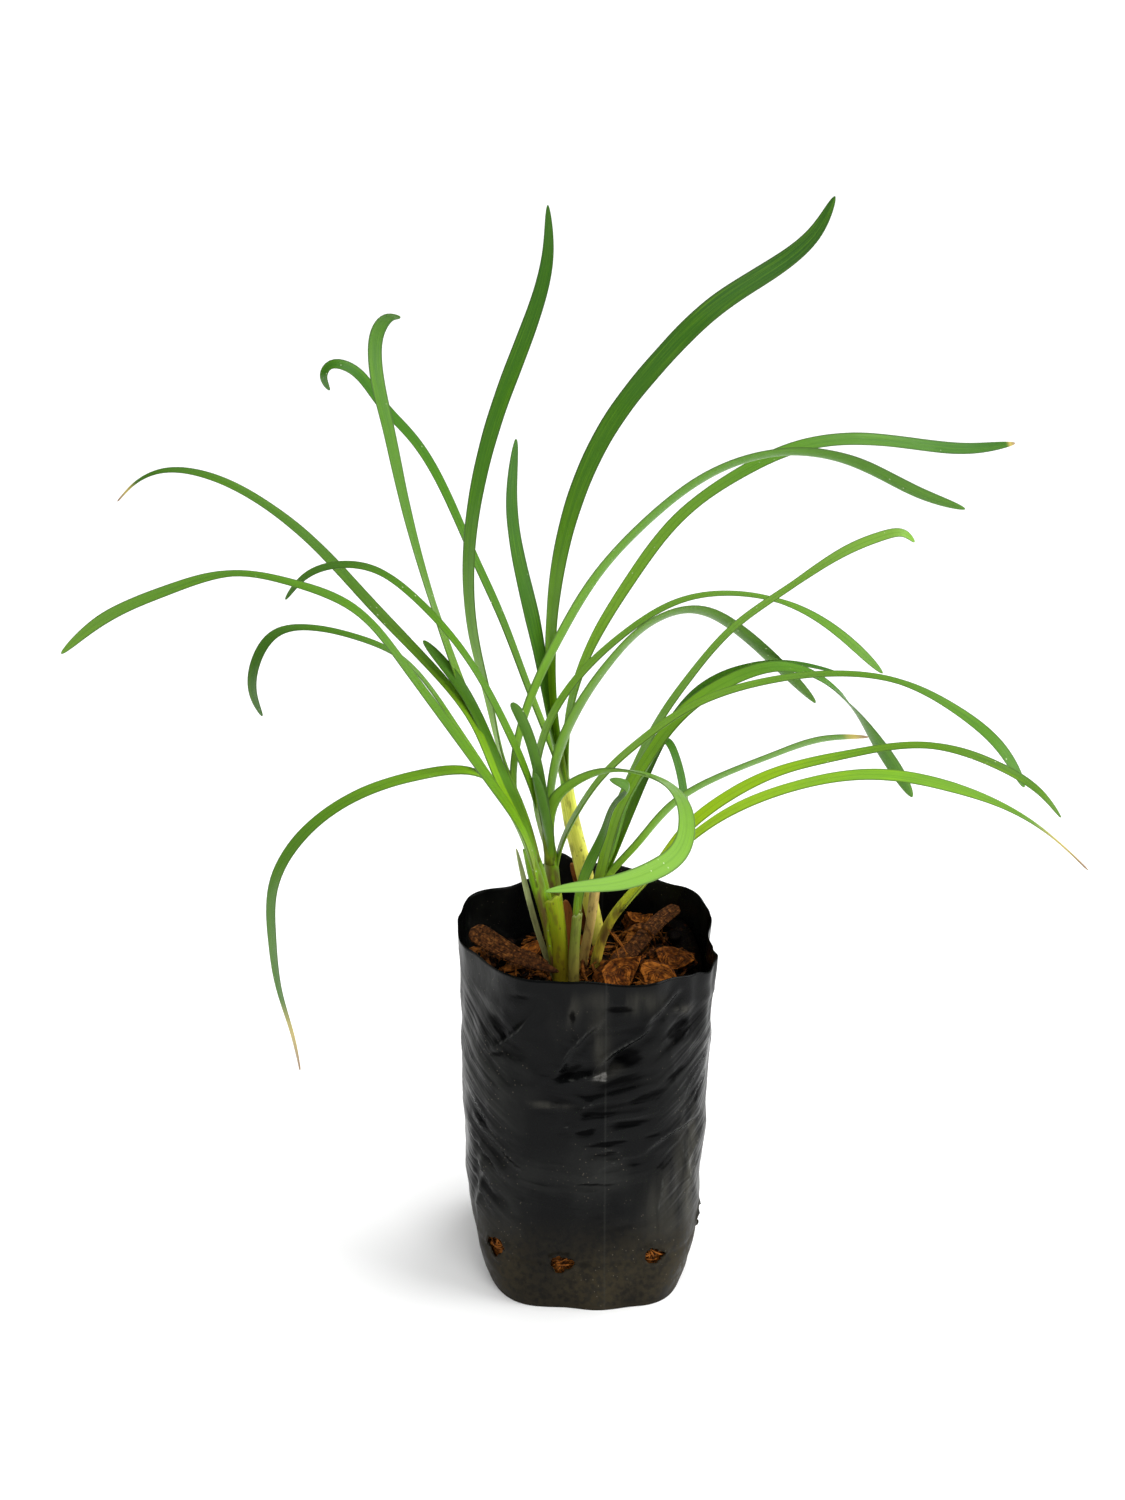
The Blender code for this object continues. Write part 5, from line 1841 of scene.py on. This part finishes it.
# The thick shoot at the front left and the leaves that sweep left from it.
FRONT_SHOOT = Shoot(
    "front",
    Stem(
        ((-6, -10, 93), (-9.5, -10, 118), (-12.5, -9.5, 138), (-16, -8.5, 154), (-19.3, -8.5, 166),
         (-22, -8.5, 176)),
        (2.3, 2.3, 2.4, 2.6, 2.7, 1.8), stain=1.6, tone=0.5,
    ),
    (
        Strap(
            6.6, (-9, -6, 4, -1, 10),
            ((-18, -8.5, 162), (-24, -8, 184), (-32, -4, 200), (-42, 4, 222), (-60, 14, 243),
             (-82, 26, 263), (-103, 36, 283), (-124, 46, 297), (-148, 54, 306), (-164, 57, 306),
             (-174, 58, 301), (-181, 58, 294)),
            tone=(0.5, 0.65, 0.6), lime=0.7, taper=0.61, blunt=3.0, dry=0.05,
        ),
        Strap(
            7.0, (46, 43, 36, 6, 27),
            ((-18, -9, 162), (-23, -14, 184), (-33, -20, 204), (-48, -28, 230), (-66, -38, 261),
             (-82, -48, 284), (-102, -58, 296), (-121, -68, 302), (-141, -78, 299),
             (-162, -86, 291), (-175, -90, 281)),
            tone=(0.78, 0.66, 0.25), root=0.8, taper=0.77, blunt=3.9,
        ),
        Strap(
            6.4, (30, 26, 14, 1, -17),
            ((-18, -9, 162), (-24, -10, 183), (-35, -10, 204), (-50, -12, 230), (-68, -18, 256),
             (-83, -26, 266), (-98, -34, 272), (-110, -42, 272), (-116, -48, 264), (-117, -52, 254),
             (-114, -54, 246)),
            tone=(0.72, 0.66, 0.82), lime=0.3, root=0.8, taper=0.88, blunt=3.7,
        ),
        Strap(
            7.2, (-11, -8, -20, -1, 16),
            ((-18, -8, 162), (-23, -4, 181), (-30, 2, 196), (-39, 8, 215), (-50, 14, 243),
             (-60, 20, 273), (-69, 26, 308), (-74, 30, 332), (-78, 34, 356), (-76, 35, 366),
             (-72, 34, 370), (-68, 33, 370)),
            tone=(0.5, 0.45, 0.5), lime=0.75, taper=0.93, blunt=4.0,
        ),
        Strap(
            7.4, (12, 14, 0, -1, -12),
            ((-18, -7.5, 162), (-24, -5, 182), (-31, -6, 197), (-40, -12, 208), (-61, -24, 212),
             (-82, -38, 210), (-101, -50, 200), (-112, -58, 183), (-113, -62, 165),
             (-111, -64, 144), (-107, -64, 126), (-105, -63, 111)),
            tone=(0.55, 0.6, 0.5), lime=0.5, taper=0.52, blunt=2.6, dry=0.15,
        ),
        Strap(
            6.0, (8, 4, 18),
            ((-18, -7.5, 163), (-22, -3, 180), (-32, 3, 204), (-47, 9, 235), (-61, 13, 252)),
            tone=(0.5,), blunt=3.6,
        ),
    ),
    FRESH,
    Wrap(
        Stem(
            ((-8, -11, 104), (-9, -11, 118), (-9.5, -11.5, 138), (-12.3, -11.5, 157)),
            (2.7, 2.9, 3.0, 3.0),
        ),
        LIME_WRAP, 1.6,
    ),
)


# The slim shoot that carries the tall left leaf and one that crosses to the right.
SLIM_SHOOT = Shoot(
    "slim",
    Stem(
        ((-9, 2, 93), (-11, 3, 120), (-14, 3, 147), (-17, 3, 162), (-20, 4, 173)),
        (1.7, 1.7, 1.8, 1.7, 0.8), stain=0.5,
    ),
    (
        Strap(
            8.1, (74, 34, 21, 5, 0),
            ((-18, 3, 166), (-21, 5, 178), (-25, 8, 189), (-31, 12, 203), (-36, 17, 224),
             (-42, 22, 250), (-44, 27, 274), (-40, 33, 308), (-32, 39, 336), (-20, 45, 367),
             (-14, 49, 390), (-14, 51, 408)),
            tone=(0.25, 0.3, 0.6, 0.7), lime=0.35, taper=0.67, blunt=2.3,
        ),
        Strap(
            7.2, (15, 28, 30, 36, 76),
            ((-18, 3, 166), (-27, 9, 191), (-25, 15, 214), (-10, 12, 253), (5, 8, 280),
             (23, 5, 301), (48, 0, 321), (76, -6, 329), (97, -12, 326), (118, -18, 317),
             (134, -21, 312)),
            tone=(0.25, 0.4, 0.5), lime=0.3, taper=0.72,
        ),
    ),
    DEEP,
)


# The shoot in the middle: short young leaves, arching ones and the curl in front.
CENTRE_SHOOT = Shoot(
    "centre",
    Stem(
        ((-5, 13, 93), (-7, 13, 121), (-11, 12, 145), (-13, 12, 162), (-14, 11, 176)),
        (2.7, 2.7, 2.8, 2.8, 1.5), stain=1.7, tone=0.3,
    ),
    (
        Strap(
            6.3, (10, 19, 9, 10, 39),
            ((-14, 12, 162), (-19, 11, 188), (-30, 6, 220), (-39, 5, 239), (-51, 6, 257),
             (-64, 10, 270), (-78, 14, 279), (-92, 18, 280), (-105, 20, 275), (-113, 20, 266)),
            tone=(0.6, 0.65), taper=0.86, blunt=3.7,
        ),
        Strap(
            6.8, (2, 1, 6, -3, -59),
            ((-13, 11, 163), (-19, 10, 193), (-13, 18, 219), (-2, 25, 234), (15, 33, 248),
             (37, 41, 259), (58, 47, 260), (80, 52, 254), (100, 57, 241), (119, 60, 223)),
            tone=(0.25, 0.35), lime=0.2, taper=0.72,
        ),
        Strap(
            6.1, (19, 6, -5), ((-13, 10, 162), (-17, 3, 198), (-23, -3, 224), (-27, -6, 234)),
            tone=(0.5,), taper=0.9, blunt=3.0,
        ),
        Strap(
            5.6, (16, 14, 15), ((-13, 10, 164), (-14, 3, 178), (-19, -4, 205)), tone=(0.45,),
            taper=0.75, blunt=3.0,
        ),
        Strap(
            8.6, (28, 48, 39, 35, 37),
            ((-13, 12, 161), (-13, 14, 191), (-10, 16, 206), (-3, 19, 222), (10, 22, 241),
             (25, 25, 255), (42, 29, 259), (59, 32, 250), (75, 34, 235), (90, 36, 219)),
            tone=(0.2, 0.35, 0.5), lime=0.15, taper=0.73,
        ),
        Strap(
            6.7, (-29, -20, -8, 4, -27),
            ((-12, 13, 152), (-10, 12, 166), (-4, 9, 182), (6, 4, 200), (20, -3, 217),
             (42, -9, 235), (66, -14, 245), (92, -20, 250), (113, -26, 249), (134, -33, 240),
             (149, -38, 228), (158, -41, 214)),
            tone=(0.3, 0.28, 0.5), lime=0.45, taper=0.85, blunt=4.0,
        ),
        Strap(
            7.5, (18, 24, 18, 14, 25, 37, 49, 43, 33),
            ((-13, 10, 162), (-14, 7, 177), (-12, 4, 190), (-5, -2, 200), (7, -14, 210),
             (20, -32, 216), (30, -54, 219), (34, -82, 218), (30, -104, 215), (20, -120, 215),
             (7, -134, 217), (-6, -144, 220), (-14, -149, 221)),
            tone=(0.35, 0.35, 0.25, 0.2), taper=0.62, blunt=2.2, section=Section.CURL,
        ),
    ),
    FRESH,
)


# The shoot at the back: the tall right leaf and three more.
REAR_SHOOT = Shoot(
    "rear",
    Stem(
        ((8, 32, 93), (6, 32, 118), (3, 32, 134), (0, 32, 150), (-5, 33, 171), (-8, 35, 190),
         (-9, 35, 197)),
        (2.3, 2.3, 2.5, 2.8, 2.3, 1.9, 1.2), stain=0.5, tone=0.1,
    ),
    (
        Strap(
            9.6, (-6, -1, -17, -30, -55),
            ((-7, 34, 185), (-11, 35, 207), (-13, 38, 239), (-11, 42, 266), (-4, 48, 296),
             (10, 56, 325), (29, 64, 348), (51, 71, 368), (74, 77, 382), (88, 80, 394),
             (95, 82, 407)),
            tone=(0.5, 0.6, 0.8, 0.95), lime=0.2, taper=0.57, blunt=3.0,
        ),
        Strap(
            7.6, (-15, 23, 48, 36, 35),
            ((-8, 35, 185), (-13, 35, 209), (-16, 36, 229), (-20, 36, 252), (-28, 36, 299),
             (-26, 35, 324)),
            tone=(0.95, 0.7), taper=0.71,
        ),
        Strap(
            6.6, (6, 0, 1, 7, 16),
            ((-7, 35, 185), (-12, 39, 197), (-23, 44, 225), (-33, 49, 251), (-43, 53, 273),
             (-54, 57, 298), (-67, 61, 319), (-79, 64, 332), (-92, 67, 345), (-98, 67, 345),
             (-100, 66, 342), (-98, 65, 336)),
            tone=(0.55, 0.6), lime=0.1, taper=0.9, blunt=3.8,
        ),
        Strap(
            7.5, (-1, -13, -11, -26, -27),
            ((-7, 34, 185), (-7, 36, 204), (-4, 40, 222), (4, 45, 242), (18, 52, 264),
             (37, 60, 287), (61, 67, 303), (84, 73, 312), (108, 77, 314), (132, 80, 311),
             (152, 82, 309), (170, 83, 311)),
            tone=(0.12, 0.3, 0.5), lime=0.45, taper=0.78, blunt=3.7, dry=0.015,
        ),
    ),
    DEEP,
    Wrap(
        Stem(
            ((7, 32, 104), (6, 32, 118), (3, 32, 134), (0, 32, 150), (-5, 33, 171), (-7, 34, 182)),
            (2.8, 2.9, 3.1, 3.3, 2.7, 2.3),
        ),
        GOLD, 4.0,
    ),
)


# The tan-sheathed shoot behind the middle, with five leaves to the right.
TAN_SHOOT = Shoot(
    "tan",
    Stem(
        ((-3, 6, 93), (-1, 5, 120), (2, 5, 137), (4, 7, 150), (6, 8, 157), (9, 8, 164)),
        (1.5, 1.5, 1.5, 1.5, 1.4, 0.8), stain=0.6,
    ),
    (
        Strap(
            6.7, (-10, -14, -8, -3, -30),
            ((5, 8, 153), (7, 9, 166), (13, 10, 187), (19, 11, 201), (27, 12, 218), (40, 13, 238),
             (56, 14, 257), (76, 15, 272), (97, 16, 286), (111, 16, 292), (118, 15, 293),
             (122, 14, 290)),
            tone=(0.35, 0.2, 0.12), lime=0.2, taper=0.76, blunt=3.7,
        ),
        Strap(
            8.8, (-46, -18, -14, -4, 70),
            ((5, 7, 153), (8, 5, 168), (14, 3, 190), (24, 3, 209), (37, 3, 227), (54, 4, 239),
             (73, 6, 244), (86, 8, 240), (100, 10, 228), (112, 11, 211), (123, 12, 194),
             (126, 12, 189)),
            tone=(0.3, 0.3, 0.6), lime=1.0, taper=0.8, blunt=2.0,
        ),
        Strap(
            7.3, (-8, -19, -4, 10, 4),
            ((6, 8, 154), (11, 11, 165), (17, 14, 181), (23, 17, 196), (32, 20, 214), (44, 23, 229),
             (61, 26, 237), (79, 28, 238), (97, 29, 234)),
            tone=(0.75, 0.6), lime=0.25, taper=0.71,
        ),
        Strap(
            6.0, (50, 29, 32, 32, 48),
            ((6, 7, 153), (11, 6, 161), (19, 3, 172), (33, -3, 192), (50, -10, 206), (70, -18, 218),
             (87, -26, 227), (102, -32, 230)),
            tone=(0.35, 0.3), lime=0.4, taper=0.72, dry=0.08,
        ),
        Strap(
            5.1, (27, 17, 0),
            ((5, 8, 153), (11, 10, 168), (17, 12, 188), (25, 13, 203), (31, 12, 212), (35, 9, 205),
             (38, 2, 183)),
            tone=(0.6,),
        ),
    ),
    DEEP,
    Wrap(
        Stem(((-2, 6, 104), (-1, 5, 120), (2, 5, 137), (4, 7, 152)), (1.9, 1.9, 1.9, 1.95)), TAN,
        1.5, 0.35,
    ),
)


# The yellow-green shoot on the right with two long low leaves.
YELLOW_SHOOT = Shoot(
    "yellow",
    Stem(
        ((3, 1, 93), (4, 1, 121), (8, 0, 138), (14, -3, 150), (19, -6, 158), (22, -8, 163)),
        (2.1, 2.1, 1.9, 1.9, 1.7, 1.0), stain=1.4, tone=0.5,
    ),
    (
        Strap(
            7.1, (-50, -45, -18, -2, -8),
            ((14, -3, 150), (24, -8, 164), (35, -16, 184), (49, -26, 202), (70, -38, 219),
             (93, -50, 230), (120, -60, 237), (143, -70, 233), (157, -75, 225), (164, -77, 217)),
            tone=(0.5, 0.5, 0.75, 0.8), lime=0.4, taper=0.72, blunt=3.4,
        ),
        Strap(
            7.3, (-31, -31, -17, -14, 34),
            ((14, -4, 149), (24, -12, 166), (37, -24, 185), (52, -38, 203), (76, -54, 220),
             (102, -70, 230), (127, -84, 230), (146, -94, 225), (159, -99, 217), (169, -102, 208)),
            tone=(0.3, 0.4, 0.6), lime=0.4, taper=0.6, blunt=1.3, dry=0.12,
        ),
    ),
    LIME,
)


# The small shoot at the front with one short folded leaf.
SMALL_SHOOT = Shoot(
    "small",
    Stem(
        ((-3, -18, 93), (-4, -16, 118), (-4, -14, 136), (-3, -12, 148), (-2, -10, 157)),
        (1.4, 1.4, 1.4, 1.4, 0.9), stain=0.6,
    ),
    (
        Strap(
            7.0, (-48, -22, 10),
            ((-3, -12, 149), (-2, -10, 158), (2, -8, 170), (7.5, -8, 184), (12.5, -8, 196),
             (16, -9, 201), (13, -11, 204), (9, -13, 206)),
            tone=(0.7,), taper=0.66, blunt=1.5,
        ),
    ),
    FRESH,
    Wrap(
        Stem(
            ((-3, -17, 104), (-4, -16, 118), (-4, -14, 136), (-3, -12, 150)), (2.1, 2.1, 2.0, 1.8),
        ),
        PALE, 1.2, 0.35,
    ),
)


SHOOTS = (
    FRONT_SHOOT, SLIM_SHOOT, CENTRE_SHOOT, REAR_SHOOT, TAN_SHOOT, YELLOW_SHOOT, SMALL_SHOOT
)


def loose_strips() -> list[Strip]:
    """The dry sheaths by the stems and the two strips of husk on the mix.

    Returns:
        The strips, each for its own CAD node.
    """
    paper, husk = Section.PAPER, Section.HUSK
    outer = ((-10, -9, 104), (-11.5, -9, 120), (-15.5, -9.5, 133), (-19, -10, 145),
             (-22.5, -11, 160), (-26, -13, 178))
    middle = ((-8, -4, 105), (-7.2, -4, 119), (-6.8, -3, 134), (-7.5, -2, 152))
    rear = ((2, 40, 106), (1, 40, 120), (-1, 40, 136), (-5, 41, 149))
    left = ((-44, -1, 139.5), (-37, -7.5, 137.5), (-28, -12, 134), (-17, -17.5, 131.5),
            (-10, -21, 130.5))
    right = ((38, 33, 133.5), (30, 23, 132), (23, 12, 129.5), (17, 3, 127), (10, -5, 126.5))
    tine = ((-30, -10, 134), (-22, -11.5, 133.5), (-14, -14, 131))
    broad = Strap(
        8.8, (-42, -30), left,
        tone=(0.5, 0.3), root=0.95, head=0.14, taper=0.2, blunt=1.1, section=husk,
    )
    split = Strap(
        3.4, (-30, -30), tine, tone=(0.5,), root=0.9, taper=0.3, blunt=1.5, section=husk
    )
    curled = Strap(
        6.4, (22, 30), right, tone=(0.42, 0.42), root=0.95, head=0.1, taper=0.75, section=husk
    )
    return [
        Strip("sheath_outer", (Strap(4.4, (26, 32), outer, blunt=1.6, root=0.4, section=paper),), GREY),
        Strip("dry_sheath_middle", (Strap(5.2, (-35, -35), middle, section=paper),), DRY),
        Strip("dry_sheath_rear", (Strap(5.4, (-50, -50), rear, section=paper),), DRY),
        Strip("husk_strip_left", (broad, split), HUSK),
        Strip("husk_strip_right", (curled,), HUSK),
    ]


def bark_chips() -> list[BarkChip]:
    """The six loose pieces of bark.

    Returns:
        The chips, each for its own CAD node.
    """
    rows = (
        ("a", (13.5, -20, 129.5), (21, 14.5, 4.4), (42, -19, 32), 0.85),
        ("b", (29, -22, 128.5), (17, 12.5, 4.2), (38, 12, -30), 0.7),
        ("c", (34, -4, 127.5), (18, 13, 4.2), (36, 12, 20), 0.5),
        ("d", (22, 39, 124), (12, 8, 5), (14, 8, 15), 0.4),
        ("e", (-21, 27, 116), (12, 8, 5), (12, -10, 40), 0.4),
        ("f", (-27, 6, 122), (11, 8, 5), (14, 8, -30), 0.4),
    )
    return [
        BarkChip(label, middle, size, turns, CHIP, point, seed)
        for seed, (label, middle, size, turns, point) in enumerate(rows, start=1)
    ]


# Studio


@dataclass(frozen=True)
class Panel:
    """A square soft light: its place, what it faces, its side and its power in watts."""

    label: str
    place: Point
    target: Point
    side: float
    power: float


@dataclass
class Studio:
    """The pale floor, the soft light and the camera at the photograph's place."""

    floor_half: float = 40.0
    sky: float = 0.84
    key: float = 1.5
    key_softness: float = 34.0
    panels: tuple[Panel, ...] = (
        Panel("right_panel", (0.95, -0.25, 0.55), (0.0, 0.0, 0.1), 0.6, 7.0),
        Panel("left_panel", (-1.1, -0.55, 0.5), (0.0, 0.0, 0.1), 0.4, 0.4),
        Panel("top_panel", (0.2, -0.7, 1.5), (0.0, 0.0, 0.15), 0.5, 4.0),
    )
    key_turn: Point = (-12.0, 21.0, 0.0)
    camera_place: Point = (-0.0086, -0.852, 0.534)
    camera_turn: Point = (69.35, 0.0, 0.0)
    lens: float = 58.0
    sensor: float = 36.0
    far: float = 200.0

    def stand(self, label: str, data: bpy.types.ID, place: Point, turn: object) -> bpy.types.Object:
        """Puts a light or the camera in the scene.

        Args:
            label: The object's name.
            data: The light's or the camera's data.
            place: Where it stands, in metres.
            turn: Its turns about X, Y and Z, in radians.

        Returns:
            The new object.
        """
        thing = bpy.data.objects.new(label, data)
        thing.location = place
        thing.rotation_euler = turn
        bpy.context.scene.collection.objects.link(thing)
        return thing

    def floor(self) -> None:
        """Lays the floor, a large flat square."""
        half = self.floor_half
        mesh = bpy.data.meshes.new("studio_floor")
        corners = [(-half, -half, 0.0), (half, -half, 0.0), (half, half, 0.0), (-half, half, 0.0)]
        mesh.from_pydata(corners, [], [(0, 1, 2, 3)])
        mesh.materials.append(FloorFinish().material())
        ground = bpy.data.objects.new("studio_floor", mesh)
        bpy.context.scene.collection.objects.link(ground)

    def lights(self) -> None:
        """Sets an even pale sky, one broad soft light from the right and three panels.

        The sky is left out of reflections, so that the film's gloss comes from the panels.
        """
        world = bpy.data.worlds.new("studio_sky")
        bpy.context.scene.world = world
        world.use_nodes = True
        sky = world.node_tree.nodes["Background"]
        sky.inputs["Color"].default_value = (1.0, 1.0, 1.0, 1.0)
        sky.inputs["Strength"].default_value = self.sky
        sun = bpy.data.lights.new("soft_key", "SUN")
        sun.energy = self.key
        sun.angle = math.radians(self.key_softness)
        self.stand("soft_key", sun, (0.0, 0.0, 0.0), [math.radians(part) for part in self.key_turn])
        world.cycles_visibility.glossy = False
        for panel in self.panels:
            data = bpy.data.lights.new(panel.label, "AREA")
            data.energy = panel.power
            data.size = panel.side
            way = Vector(panel.target) - Vector(panel.place)
            self.stand(panel.label, data, panel.place, way.to_track_quat("-Z", "Y").to_euler())

    def camera(self) -> None:
        """Sets the camera where the photograph was taken from."""
        data = bpy.data.cameras.new("view")
        data.lens = self.lens
        data.sensor_width = self.sensor
        data.clip_end = self.far
        turn = [math.radians(part) for part in self.camera_turn]
        bpy.context.scene.camera = self.stand("view", data, self.camera_place, turn)

    def build(self) -> None:
        """Makes the whole studio and shows colours as they are."""
        self.camera()
        self.floor()
        self.lights()
        bpy.context.scene.view_settings.view_transform = "Standard"


def main() -> None:
    """Builds the studio, the bag, the mix, the chips, the shoots and the strips, in order."""
    logging.basicConfig(level=logging.INFO, format="%(name)s %(message)s")
    Studio().build()
    bag = GrowBag()
    bag.build()
    PottingMix(bag).build()
    for chip in bark_chips():
        chip.build()
    for shoot in SHOOTS:
        shoot.build()
    for strip in loose_strips():
        strip.build()


if __name__ == "__main__":
    main()
